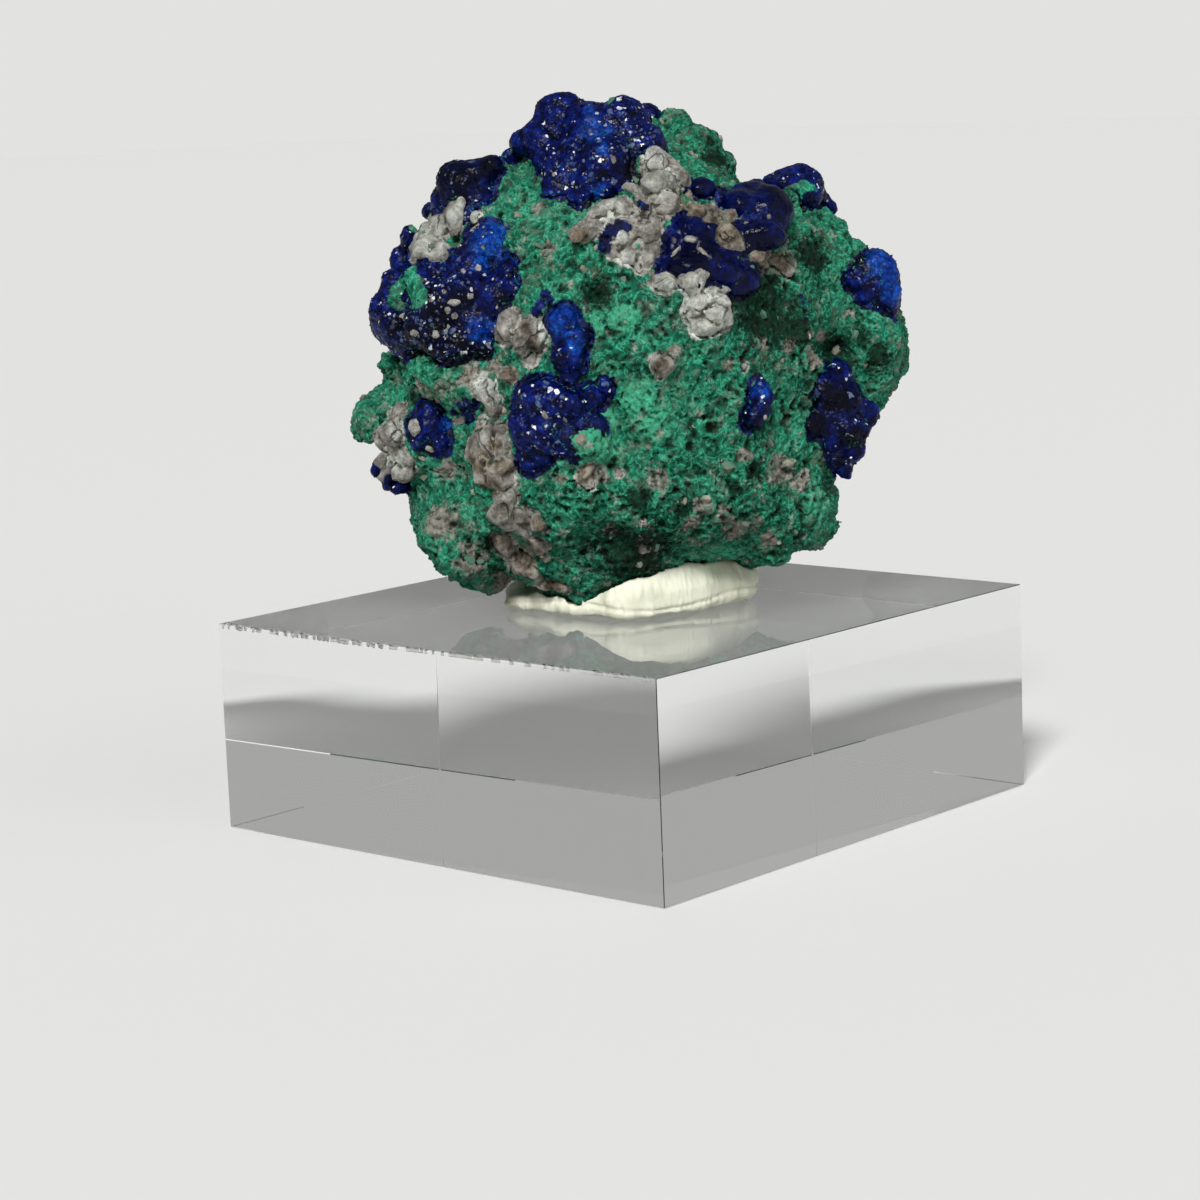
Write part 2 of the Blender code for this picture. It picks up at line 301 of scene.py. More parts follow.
# painted spots of each kind: pixel x, pixel y and radius in pixels
paint = {
    "cobalt": [
        (491, 243, 17), (482, 262, 10), (500, 232, 9), (594, 130, 12), (606, 128, 7), (604, 150, 7),
        (565, 322, 14), (575, 345, 8), (884, 262, 15), (893, 290, 12), (890, 275, 12), (446, 424, 6),
        (762, 390, 8), (480, 330, 12), (600, 190, 7), (590, 112, 6),
    ],
    # near-black azurite: partly its own colour, partly painted shade under the left flank and on the lower
    # right group
    "night": [
        (440, 322, 26), (425, 345, 24), (455, 348, 26), (480, 355, 20), (410, 330, 18), (455, 178, 26),
        (490, 166, 14), (632, 168, 16), (645, 185, 10), (460, 300, 16), (430, 300, 14), (505, 300, 10),
        (690, 262, 20), (755, 240, 16), (780, 195, 16), (862, 262, 10), (395, 325, 14), (700, 250, 16),
        (800, 205, 14), (475, 362, 14), (815, 425, 16), (842, 400, 18), (852, 436, 14), (825, 395, 14),
        (750, 420, 10), (600, 205, 12),
    ],
    "white": [
        (660, 180, 18), (655, 160, 12), (621, 238, 9), (627, 258, 8), (706, 312, 27), (700, 296, 16),
        (665, 283, 10), (432, 245, 20), (440, 225, 8), (455, 217, 9), (477, 218, 7), (462, 202, 5),
        (546, 332, 10), (488, 388, 13), (612, 212, 12), (398, 430, 10), (398, 462, 10), (457, 410, 9),
    ],
    "brown": [
        (691, 204, 14), (726, 230, 20), (578, 236, 9), (530, 560, 16), (505, 540, 10), (481, 462, 12),
        (490, 487, 10), (503, 468, 9), (495, 445, 7), (524, 328, 6), (530, 338, 6), (535, 346, 5),
        (408, 262, 7), (775, 262, 14), (755, 256, 10), (555, 584, 14), (541, 524, 8),
        (700, 215, 8), (586, 473, 8), (663, 364, 7), (510, 375, 9),
    ],
    "green": [
        (408, 290, 15), (402, 296, 13), (409, 268, 7), (417, 297, 12), (396, 300, 8), (410, 281, 10),
        (415, 226, 6), (790, 192, 6), (796, 189, 6), (803, 187, 7), (809, 188, 6), (814, 190, 6),
        (388, 370, 14),
    ],
    "mint": [
        (590, 438, 24), (574, 456, 18), (604, 416, 13), (598, 452, 14), (640, 398, 16), (655, 420, 18),
        (590, 322, 12), (625, 318, 14), (715, 555, 14), (690, 560, 12), (820, 505, 14),
    ],
    # painted shade in the crust's hollows and crevices
    "paintedShade": [
        (768, 315, 34), (745, 300, 18), (795, 330, 18), (597, 294, 15), (836, 350, 17), (846, 360, 12),
        (494, 545, 12), (498, 520, 9), (682, 512, 7), (497, 570, 8), (755, 470, 9), (690, 445, 5),
        (735, 490, 7), (808, 250, 15), (815, 262, 12), (770, 285, 12), (862, 338, 10), (878, 356, 12),
        (715, 160, 14), (700, 120, 7), (722, 128, 8), (735, 148, 8), (711, 141, 6), (640, 500, 12),
    ],
    "tan": [
        (650, 550, 11), (640, 540, 7), (725, 515, 9), (815, 545, 8), (702, 505, 8), (755, 520, 7),
        (690, 525, 8), (672, 350, 6), (760, 340, 7), (790, 345, 7), (727, 365, 6), (440, 520, 16),
        (470, 560, 16), (448, 470, 10), (520, 560, 12), (450, 385, 12), (430, 400, 10), (470, 375, 11),
        (496, 368, 8), (780, 470, 12), (800, 480, 9), (735, 530, 10), (770, 540, 10), (610, 530, 7),
        (745, 260, 12), (765, 262, 12), (785, 262, 10), (555, 170, 8), (530, 155, 6), (820, 335, 6),
        (660, 480, 9), (745, 455, 7), (540, 210, 6), (548, 250, 8), (560, 480, 7), (505, 585, 12),
        (600, 475, 8), (812, 360, 8),
    ],
    "azurite": [
        (604, 247, 7), (605, 238, 7), (611, 230, 7), (619, 225, 6), (626, 227, 5), (639, 203, 4),
        (645, 208, 4), (545, 294, 5), (541, 304, 5), (537, 312, 5), (550, 300, 4), (801, 296, 2.5),
        (803, 303, 2.5), (805, 311, 2.5), (806, 319, 2.5), (455, 410, 6), (390, 480, 6),
    ],
    "pale": [
        (470, 222, 9), (455, 218, 7), (448, 392, 6), (465, 405, 5), (470, 296, 3), (462, 290, 3),
        (455, 316, 3), (448, 310, 3), (478, 268, 3), (463, 272, 3),
        (500, 352, 4), (444, 292, 3), (492, 364, 5), (476, 366, 4), (440, 365, 4), (455, 370, 5),
    ],
    "speckled": [
        (420, 330, 32), (450, 345, 30), (475, 350, 22), (440, 290, 26), (470, 225, 20), (560, 160, 22),
        (590, 180, 22), (620, 125, 24), (640, 150, 16), (545, 400, 20), (555, 430, 20), (530, 450, 16),
        (455, 400, 12), (400, 345, 18), (500, 320, 14),
    ],
}

# the sides that the photograph hides: bearing, height and radius in millimetres
paintBehind = {
    "cobalt": [
        (150, 36, 2.2), (-120, 14, 2), (140, 0, 1.8), (175, 52, 1.6), (112, 10, 1.4), (-175, -24, 1.4),
    ],
    "green": [(165, 34, 1.5), (-132, -2, 1.4), (130, -10, 1.4), (-120, 12, 1.1), (178, 46, 1.3)],
    "mint": [(180, 20, 4), (120, 40, 3), (-110, -30, 3.4), (150, -30, 3), (-150, 60, 3), (110, -40, 3)],
    # painted shade in the hollows of the hidden sides
    "paintedShade": [(-165, 15, 3), (150, 20, 2.4), (-140, -25, 2.6), (120, -8, 2.2), (100, 30, 2), (0, -60, 4)],
    "night": [(-165, 30, 3), (140, 10, 2.6), (-110, 20, 2.4), (165, -20, 2.2)],
    "white": [(160, 5, 2.4), (-140, 30, 2), (-110, -10, 1.8), (120, -20, 1.6)],
    "brown": [(-160, -10, 2.4), (135, 45, 2), (110, 0, 1.6), (-130, -35, 2)],
    "tan": [(170, -5, 2.6), (-120, -15, 2.2), (-145, 45, 2), (130, 25, 1.8), (160, -45, 2.6), (-170, -40, 2)],
    "azurite": [(-150, 5, 1.5), (160, 5, 1.4), (-100, 30, 1.6), (105, 25, 1.3)],
    "pale": [(160, 38, 0.7), (-125, 10, 0.8), (138, -8, 0.6)],
    "speckled": [(165, 40, 4), (-130, 8, 4), (136, -6, 3), (-172, -26, 3)],
}
spotFade = 1.5  # how far a spot fades out, in its own radii
sightShare = 0.35  # how much of a distance along the line of sight counts


def gatherSpots():
    # place, line of sight to it and radius of each spot
    spots = {}
    for kind, places in paint.items():
        spots[kind] = []
        for x, y, radius in places:
            spots[kind].append((spotAt(x, y), aimAt(x, y), radius / photo["pixelsPerMm"]))
        for bearing, height, radius in paintBehind[kind]:
            spots[kind].append((spotFacing(bearing, height), towards(bearing, height), radius))
    return spots


spots = gatherSpots()


def awayFrom(points, place, way):
    # distance from a spot, counting little of what lies along the line of sight
    step = points - np.array(place, np.float32)
    along = step @ np.array(way, np.float32)
    across = np.maximum((step * step).sum(axis=1) - along * along, 0)
    return np.sqrt(across + (sightShare * along) ** 2)


def shareOf(points, kind):
    # 1 in the middle of a painted spot and 0 at its edge and beyond
    share = np.zeros(len(points), np.float32)
    for place, way, radius in spots[kind]:
        share = np.maximum(share, 1 - awayFrom(points, place, way) / (radius * spotFade * mm))
    return share


def paintPiece(piece, kinds):
    points = pointsOf(piece)
    for kind in kinds:
        giveAttribute(piece, kind, shareOf(points, kind))


# colours of the three minerals, each drawn from Object coordinates


def layered(tree, under, layers):
    # lays one colour over another by masks, from the bottom up
    for mask, over in layers:
        inputs = {"Factor": mask, "A": under, "B": over}
        under = addNode(tree, "Mix", {"data_type": "RGBA"}, inputs).outputs["Result"]
    return under


def multiplied(tree, colour, share, multiplier):
    # multiplies a colour by another, fully where share is 1: it lays the painted shade of shaded and of the
    # crust's shade spots, and the pale rock's dark pits
    settings = {"data_type": "RGBA", "blend_type": "MULTIPLY"}
    inputs = {"Factor": share, "A": colour, "B": multiplier}
    return addNode(tree, "Mix", settings, inputs).outputs["Result"]


def shaded(tree, colour, stops):
    # painted shade: the holes of the relief are darker than its crests
    crest = addNode(tree, "Attribute", {"attribute_name": "crest"}).outputs["Fac"]
    depth = addNode(tree, "ValToRGB", {}, {"Fac": crest}, stops).outputs[0]
    return multiplied(tree, colour, 1.0, depth)


def tinted(tree, stops):
    # each small crystal or grain in its own tone
    tint = addNode(tree, "Attribute", {"attribute_name": "tint"}).outputs["Fac"]
    return addNode(tree, "ValToRGB", {}, {"Fac": tint}, stops).outputs[0]


spotEdge = 0.3  # how strong a painted spot is at its torn edge


def spotMask(tree, coords, kind, ragged, size, soft=0.07):
    # a painted spot whose edge is torn by noise of this size, which is 0.5 on average
    share = addNode(tree, "Attribute", {"attribute_name": kind}).outputs["Fac"]
    tearing = addNode(
        tree, "TexNoise", {}, {"Vector": coords, "Scale": per(size), "Detail": 6, "Roughness": 0.75}
    ).outputs["Fac"]
    torn = addNode(
        tree, "Math", {"operation": "MULTIPLY_ADD"}, {0: tearing, 1: ragged, 2: share}
    ).outputs[0]
    edge = spotEdge + ragged * 0.5
    return addNode(
        tree, "MapRange", {"interpolation_type": "SMOOTHSTEP"},
        {"Value": torn, "From Min": edge - soft, "From Max": edge + soft},
    ).outputs[0]


def malachiteColour(tree, coords):
    # fibrous crust: pale threads 0.2 mm wide over darker green, with dusty brown washed in
    threads = addNode(
        tree, "TexNoise", {},
        {"Vector": coords, "Scale": per(0.9), "Detail": 1.2, "Roughness": 0.55, "Distortion": 0.9},
    ).outputs["Fac"]
    tone = addNode(
        tree, "ValToRGB", {}, {"Fac": threads},
        [(0.26, "03241A"), (0.37, "094635"), (0.45, "137358"), (0.48, "3A9E7E"), (0.50, "62C0A0"),
         (0.52, "389B7B"), (0.56, "137358"), (0.66, "094635"), (0.76, "03241A")],
    ).outputs[0]
    broad = addNode(
        tree, "TexNoise", {}, {"Vector": coords, "Scale": per(3.4), "Detail": 6, "Roughness": 0.7}
    ).outputs["Fac"]
    wash = addNode(
        tree, "ValToRGB", {}, {"Fac": broad},
        [(0.36, "063426"), (0.46, "146C52"), (0.53, "228A69"), (0.62, "48A484")],
    ).outputs[0]
    dusty = addNode(
        tree, "TexNoise", {}, {"Vector": coords, "Scale": per(2.0), "Detail": 8, "Roughness": 0.85}
    ).outputs["Fac"]
    dust = addNode(
        tree, "MapRange", {}, {"Value": dusty, "From Min": 0.515, "From Max": 0.6, "To Max": 0.75}
    ).outputs[0]
    return layered(tree, tone, [(0.42, wash), (dust, linear("605D50"))])


def azuriteColour(tree, coords):
    # deep blue crystals: near black in places, cobalt in others
    tone = addNode(
        tree, "TexNoise", {}, {"Vector": coords, "Scale": per(0.9), "Detail": 6, "Roughness": 0.75}
    ).outputs["Fac"]
    blue = addNode(
        tree, "ValToRGB", {}, {"Fac": tone},
        [(0.36, "01030D"), (0.44, "02062B"), (0.51, "040F50"), (0.6, "091F72"), (0.7, "1C4080")],
    ).outputs[0]
    bright = addNode(
        tree, "ValToRGB", {}, {"Fac": tone}, [(0.38, "031450"), (0.5, "053184"), (0.62, "1254B0")]
    ).outputs[0]
    cobalt = spotMask(tree, coords, "cobalt", 1.0, 1.0, 0.3)
    # near black: partly the azurite's own colour, partly painted shade under the left flank and on the lower
    # right group
    night = spotMask(tree, coords, "night", 1.2, 1.3, 0.5)
    return layered(tree, blue, [(night, linear("01020F")), (cobalt, bright)])


def paleColour(tree, coords):
    # quartz and altered host rock: beige to grey-lilac, chalk white and brown in places, with dark pits
    tone = addNode(
        tree, "TexNoise", {}, {"Vector": coords, "Scale": per(1.6), "Detail": 7, "Roughness": 0.7}
    ).outputs["Fac"]
    rock = addNode(
        tree, "ValToRGB", {}, {"Fac": tone},
        [(0.34, "625E57"), (0.43, "8A867F"), (0.5, "ABA8A2"), (0.57, "C0BDB6"), (0.66, "D2D0CA")],
    ).outputs[0]
    chalk = addNode(
        tree, "ValToRGB", {}, {"Fac": tone}, [(0.36, "959892"), (0.46, "BEC2BB"), (0.58, "E3E6E0")]
    ).outputs[0]
    rust = addNode(
        tree, "ValToRGB", {}, {"Fac": tone}, [(0.38, "4C4238"), (0.5, "8A7F70"), (0.62, "B5AB9C")]
    ).outputs[0]
    white = spotMask(tree, coords, "white", 0.8, 0.9, 0.25)
    brown = spotMask(tree, coords, "brown", 0.8, 0.9, 0.25)
    fine = addNode(
        tree, "TexNoise", {}, {"Vector": coords, "Scale": per(0.55), "Detail": 6, "Roughness": 0.85}
    ).outputs["Fac"]
    pits = addNode(
        tree, "ValToRGB", {}, {"Fac": fine}, [(0.36, "5E564C"), (0.46, "C4C0B8"), (0.54, "FFFFFF")]
    ).outputs[0]
    return multiplied(tree, layered(tree, rock, [(white, chalk), (brown, rust)]), 0.6, pits)


def flakesIn(tree, coords, size, few, many, reach):
    # small angular flakes of rock in the blue: few and many are the shares of the places that have
    # one, where the surface is plain and where it is painted speckled
    wander = addNode(
        tree, "TexNoise", {}, {"Vector": coords, "Scale": per(size * 0.8), "Detail": 2}
    ).outputs["Color"]
    bent = addNode(
        tree, "VectorMath", {"operation": "MULTIPLY_ADD"},
        {0: wander, 1: (size * 1.1 * mm,) * 3, 2: coords},
    ).outputs[0]
    cells = addNode(tree, "TexVoronoi", {}, {"Vector": bent, "Scale": per(size)}).outputs
    chance = addNode(tree, "SeparateColor", {}, {"Color": cells["Color"]}).outputs
    speckled = addNode(tree, "Attribute", {"attribute_name": "speckled"}).outputs["Fac"]
    level = addNode(
        tree, "MapRange", {},
        {"Value": speckled, "From Min": 0, "From Max": 0.7, "To Min": few, "To Max": many},
    ).outputs[0]
    chosen = addNode(tree, "Math", {"operation": "LESS_THAN"}, {0: chance[0], 1: level}).outputs[0]
    limit = addNode(
        tree, "MapRange", {}, {"Value": chance[1], "To Min": reach * 0.6, "To Max": reach}
    ).outputs[0]
    over = addNode(
        tree, "Math", {"operation": "SUBTRACT"}, {0: limit, 1: cells["Distance"]}
    ).outputs[0]
    inside = addNode(
        tree, "MapRange", {}, {"Value": over, "From Min": 0, "From Max": 0.06}
    ).outputs[0]
    mask = addNode(tree, "Math", {"operation": "MULTIPLY"}, {0: inside, 1: chosen}).outputs[0]
    tone = addNode(
        tree, "ValToRGB", {}, {"Fac": chance[2]},
        [(0.0, "1C2C54"), (0.35, "36486E"), (0.7, "586580"), (1.0, "868C98")],
    ).outputs[0]
    return mask, tone


def malachiteCrust():
    # malachite grown as a fine fibrous crust: matt, with no clear gloss
    material, tree, coords = newMaterial("malachiteCrust")
    mint = spotMask(tree, coords, "mint", 1.6, 1.0, 0.22)
    mintPart = addNode(tree, "Math", {"operation": "MULTIPLY"}, {0: mint, 1: 0.45}).outputs[0]
    # painted shade: the crust's hollows darkened, fully in the middle of each spot
    paintedShade = spotMask(tree, coords, "paintedShade", 2.4, 0.5, 0.3)
    blue = spotMask(tree, coords, "azurite", 1.4, 0.4)
    pale = spotMask(tree, coords, "pale", 1.2, 0.5)
    tan = spotMask(tree, coords, "tan", 2.6, 1.6, 0.2)
    rock = paleColour(tree, coords)
    dull = layered(tree, rock, [(0.55, linear("6B6358"))])
    colour = layered(
        tree, malachiteColour(tree, coords),
        [(mintPart, linear("58C49A")), (tan, dull), (pale, rock), (blue, azuriteColour(tree, coords))],
    )
    # painted shade in the holes of the crust's relief
    colour = shaded(
        tree, multiplied(tree, colour, paintedShade, linear("4A6458")),
        [(0.15, "20302A"), (0.38, "97A59F"), (0.52, "E8EAE8"), (0.75, "FFFFFF")],
    )
    grain = addNode(
        tree, "TexNoise", {},
        {"Vector": coords, "Scale": per(0.35), "Detail": 3, "Roughness": 0.7, "Distortion": 0.6},
    ).outputs["Fac"]
    bump = addNode(
        tree, "Bump", {}, {"Strength": 0.9, "Distance": 0.14 * mm, "Height": grain}
    ).outputs[0]
    gloss = addNode(
        tree, "MapRange", {}, {"Value": blue, "To Min": 0.82, "To Max": 0.35}
    ).outputs[0]
    return finishMaterial(
        material, {"Base Color": colour, "Roughness": gloss, "Specular IOR Level": 0.15, "Normal": bump}
    )


def azuriteMass():
    # azurite as a mass of tiny crystals, with painted shade between them
    material, tree, coords = newMaterial("azuriteMass")
    green = spotMask(tree, coords, "green", 0.6, 0.6)
    pale = spotMask(tree, coords, "pale", 1.3, 0.5)
    colour = layered(
        tree, azuriteColour(tree, coords),
        [flakesIn(tree, coords, 0.8, 0.04, 0.2, 0.5), flakesIn(tree, coords, 0.38, 0.08, 0.36, 0.55),
         (pale, paleColour(tree, coords)), (green, malachiteColour(tree, coords))],
    )
    # painted shade in the hollows between the crystals
    colour = shaded(tree, colour, [(0.2, "3C3C48"), (0.45, "C4C4C8"), (0.6, "FFFFFF")])
    gloss = addNode(
        tree, "MapRange", {}, {"Value": green, "To Min": 0.34, "To Max": 0.8}
    ).outputs[0]
    cells = addNode(
        tree, "TexVoronoi", {}, {"Vector": coords, "Scale": per(0.34)}
    ).outputs["Distance"]
    bump = addNode(
        tree, "Bump", {}, {"Strength": 0.6, "Distance": 0.12 * mm, "Height": cells}
    ).outputs[0]
    return finishMaterial(
        material, {"Base Color": colour, "Roughness": gloss, "Specular IOR Level": 0.1, "Normal": bump}
    )


def glassyAzurite():
    # azurite in smooth rounded lobes, near black with a glassy gloss
    material, tree, coords = newMaterial("glassyAzurite")
    green = spotMask(tree, coords, "green", 0.9, 0.8)
    pale = spotMask(tree, coords, "pale", 0.9, 0.6)
    bare = addNode(tree, "Math", {"operation": "SUBTRACT"}, {0: 0.6, 1: green}).outputs[0]
    colour = layered(
        tree, azuriteColour(tree, coords),
        [(pale, paleColour(tree, coords)), (green, malachiteColour(tree, coords)),
         (bare, linear("01031E"))],
    )
    gloss = addNode(
        tree, "MapRange", {}, {"Value": green, "To Min": 0.15, "To Max": 0.8}
    ).outputs[0]
    swell = addNode(
        tree, "TexNoise", {}, {"Vector": coords, "Scale": per(0.5), "Detail": 3, "Roughness": 0.6}
    ).outputs["Fac"]
    bump = addNode(
        tree, "Bump", {}, {"Strength": 0.7, "Distance": 0.15 * mm, "Height": swell}
    ).outputs[0]
    return finishMaterial(
        material, {"Base Color": colour, "Roughness": gloss, "Specular IOR Level": 0.12, "Normal": bump}
    )


def azuriteCrystal():
    # single azurite crystals: flat glassy faces that catch a point of light
    material, tree, coords = newMaterial("azuriteCrystal")
    blue = tinted(tree, [(0.0, "010112"), (0.5, "02042E"), (0.85, "060C5A"), (1.0, "0A1C84")])
    cobalt = spotMask(tree, coords, "cobalt", 0.7, 1.1, 0.22)
    colour = layered(tree, blue, [(cobalt, linear("07329A"))])
    return finishMaterial(
        material, {"Base Color": colour, "Roughness": 0.3, "Specular IOR Level": 0.05}
    )


def paleRock():
    # quartz and altered rock, dull and slightly waxy on fresh faces, with hairline cracks
    material, tree, coords = newMaterial("paleRock")
    blue = spotMask(tree, coords, "azurite", 1.2, 0.45)
    green = spotMask(tree, coords, "green", 1.4, 0.7)
    colour = layered(
        tree, paleColour(tree, coords),
        [(green, malachiteColour(tree, coords)), (blue, azuriteColour(tree, coords))],
    )
    # painted shade in the hollows between the lumps
    colour = shaded(
        tree, colour, [(0.2, "24201C"), (0.4, "8E8880"), (0.51, "ECEBE8"), (0.7, "FFFFFF")]
    )
    bend = addNode(
        tree, "TexNoise", {}, {"Vector": coords, "Scale": per(1.2), "Detail": 2}
    ).outputs["Color"]
    bent = addNode(
        tree, "VectorMath", {"operation": "MULTIPLY_ADD"}, {0: bend, 1: (1.2 * mm,) * 3, 2: coords}
    ).outputs[0]
    cells = addNode(
        tree, "TexVoronoi", {"feature": "DISTANCE_TO_EDGE"}, {"Vector": bent, "Scale": per(5)}
    ).outputs["Distance"]
    line = addNode(
        tree, "MapRange", {},
        {"Value": cells, "From Min": 0.005, "From Max": 0.02, "To Min": 1, "To Max": 0},
    ).outputs[0]
    where = addNode(
        tree, "TexNoise", {}, {"Vector": coords, "Scale": per(2.5), "Detail": 2}
    ).outputs["Fac"]
    split = addNode(
        tree, "MapRange", {}, {"Value": where, "From Min": 0.5, "From Max": 0.56}
    ).outputs[0]
    crack = addNode(tree, "Math", {"operation": "MULTIPLY"}, {0: line, 1: split}).outputs[0]
    crackPart = addNode(tree, "Math", {"operation": "MULTIPLY"}, {0: crack, 1: 0.7}).outputs[0]
    colour = layered(tree, colour, [(crackPart, linear("26221D"))])
    grain = addNode(
        tree, "TexNoise", {}, {"Vector": coords, "Scale": per(0.8), "Detail": 8, "Roughness": 0.8}
    ).outputs["Fac"]
    carved = addNode(tree, "Math", {"operation": "SUBTRACT"}, {0: grain, 1: crack}).outputs[0]
    bump = addNode(
        tree, "Bump", {}, {"Strength": 1.0, "Distance": 0.5 * mm, "Height": carved}
    ).outputs[0]
    return finishMaterial(
        material, {"Base Color": colour, "Roughness": 0.55, "Specular IOR Level": 0.3, "Normal": bump}
    )


def looseGrain():
    # small grains of quartz and rock: each its own tone, from light to dark grey
    material, tree = newMaterial("quartzGrain")[:2]
    tone = tinted(
        tree, [(0.0, "40424A"), (0.3, "585A62"), (0.55, "706E6E"), (0.8, "8A8884"), (0.97, "A8A6A2")]
    )
    return finishMaterial(
        material, {"Base Color": tone, "Roughness": 0.5, "Specular IOR Level": 0.2}
    )


def crustGrain():
    # bits of rock held in the crust, stained by it
    material, tree, coords = newMaterial("stainedRockGrain")
    tone = tinted(
        tree, [(0.02, "2E5E4A"), (0.3, "4E6A5A"), (0.5, "6B675C"), (0.75, "82756A"), (0.97, "A0948A")]
    )
    mottle = addNode(
        tree, "TexNoise", {}, {"Vector": coords, "Scale": per(0.5), "Detail": 4, "Roughness": 0.7}
    ).outputs["Fac"]
    share = addNode(
        tree, "MapRange", {}, {"Value": mottle, "From Min": 0.48, "From Max": 0.6, "To Max": 0.6}
    ).outputs[0]
    colour = layered(tree, tone, [(share, linear("2F7358"))])
    return finishMaterial(
        material, {"Base Color": colour, "Roughness": 0.7, "Specular IOR Level": 0.3}
    )


acrylicIor = 1.49


def sawnAcrylic():
    # the chipped edge of the block: the same plastic, frosted where the saw broke it
    material, tree, coords = newMaterial("sawnAcrylic")
    frost = addNode(
        tree, "TexNoise", {}, {"Vector": coords, "Scale": per(0.3), "Detail": 3}
    ).outputs["Fac"]
    bump = addNode(
        tree, "Bump", {}, {"Strength": 0.8, "Distance": 0.1 * mm, "Height": frost}
    ).outputs[0]
    return finishMaterial(
        material,
        {"Base Color": linear("C9C7C2"), "Roughness": 0.3, "IOR": acrylicIor,
         "Transmission Weight": 0.8, "Normal": bump},
    )


def mineralPutty():
    # pressed museum putty, matt and cream white, with the fine lines of fingers in it
    material, tree, coords = newMaterial("mineralPutty")
    lines = addNode(
        tree, "TexWave", {"wave_type": "RINGS", "rings_direction": "Z"},
        {"Vector": coords, "Scale": per(6.0), "Distortion": 9, "Detail": 2, "Detail Scale": 0.6},
    ).outputs["Fac"]
    bump = addNode(
        tree, "Bump", {}, {"Strength": 0.35, "Distance": 0.1 * mm, "Height": lines}
    ).outputs[0]
    # painted shade: the colour is darker in the low parts of the finger lines
    colour = addNode(
        tree, "ValToRGB", {}, {"Fac": lines}, [(0.0, "CFD0B8"), (0.5, "E6E7D1")]
    ).outputs[0]
    return finishMaterial(material, {"Base Color": colour, "Roughness": 0.7, "Normal": bump})


def clearAcrylic():
    # cast acrylic with polished faces: clear all through, seen by its reflections and bent edges
    return finishMaterial(
        newMaterial("clearAcrylic")[0],
        {"Base Color": linear("FAFBFB"), "Roughness": 0.0, "IOR": acrylicIor,
         "Transmission Weight": 1.0},
    )


finishes = {
    "malachite": malachiteCrust(),
    "azurite": azuriteMass(),
    "glassy": glassyAzurite(),
    "crystal": azuriteCrystal(),
    "pale": paleRock(),
    "grain": looseGrain(),
    "multiplied": crustGrain(),
    "putty": mineralPutty(),
    "acrylic": clearAcrylic(),
    "sawn": sawnAcrylic(),
}


def crestOf(before, after, normals, span):
    # how high each point was lifted, from 0 in the holes to 1 on the crests
    lift = np.einsum("ij,ij->i", after - before, normals)
    return np.clip(lift / (span * mm) + 0.5, 0, 1)


def creviceOf(piece, iterations, span):
    # the same against the piece's own smoothed form
    calm = piece.copy()
    calm.data = piece.data.copy()
    bpy.context.scene.collection.objects.link(calm)
    modify(calm, "SMOOTH", iterations=iterations)
    before = pointsOf(calm)
    bpy.data.objects.remove(calm)
    return crestOf(before, pointsOf(piece), pointsOf(piece, "normal"), span)


azuriteNames = sorted(name for name in nodes if name.startswith("azurite_"))
paleNames = sorted(name for name in nodes if name.startswith("quartz_"))


def nearness(points, tree, reach, normals=None, steep=1.7, least=0.3):
    # 1 on the solids of this tree and 0 at this reach from them; with normals, only where both
    # face alike, and steep and least say how closely
    near = np.zeros(len(points), np.float32)
    for i, point in enumerate(points.tolist()):
        _, facing, _, away = tree.find_nearest(point, reach * mm)
        if away is not None:
            near[i] = 1 - away / (reach * mm)
            if normals is not None:
                near[i] *= min(max(steep * facing.dot(normals[i].tolist()) - least, 0), 1)
    return near


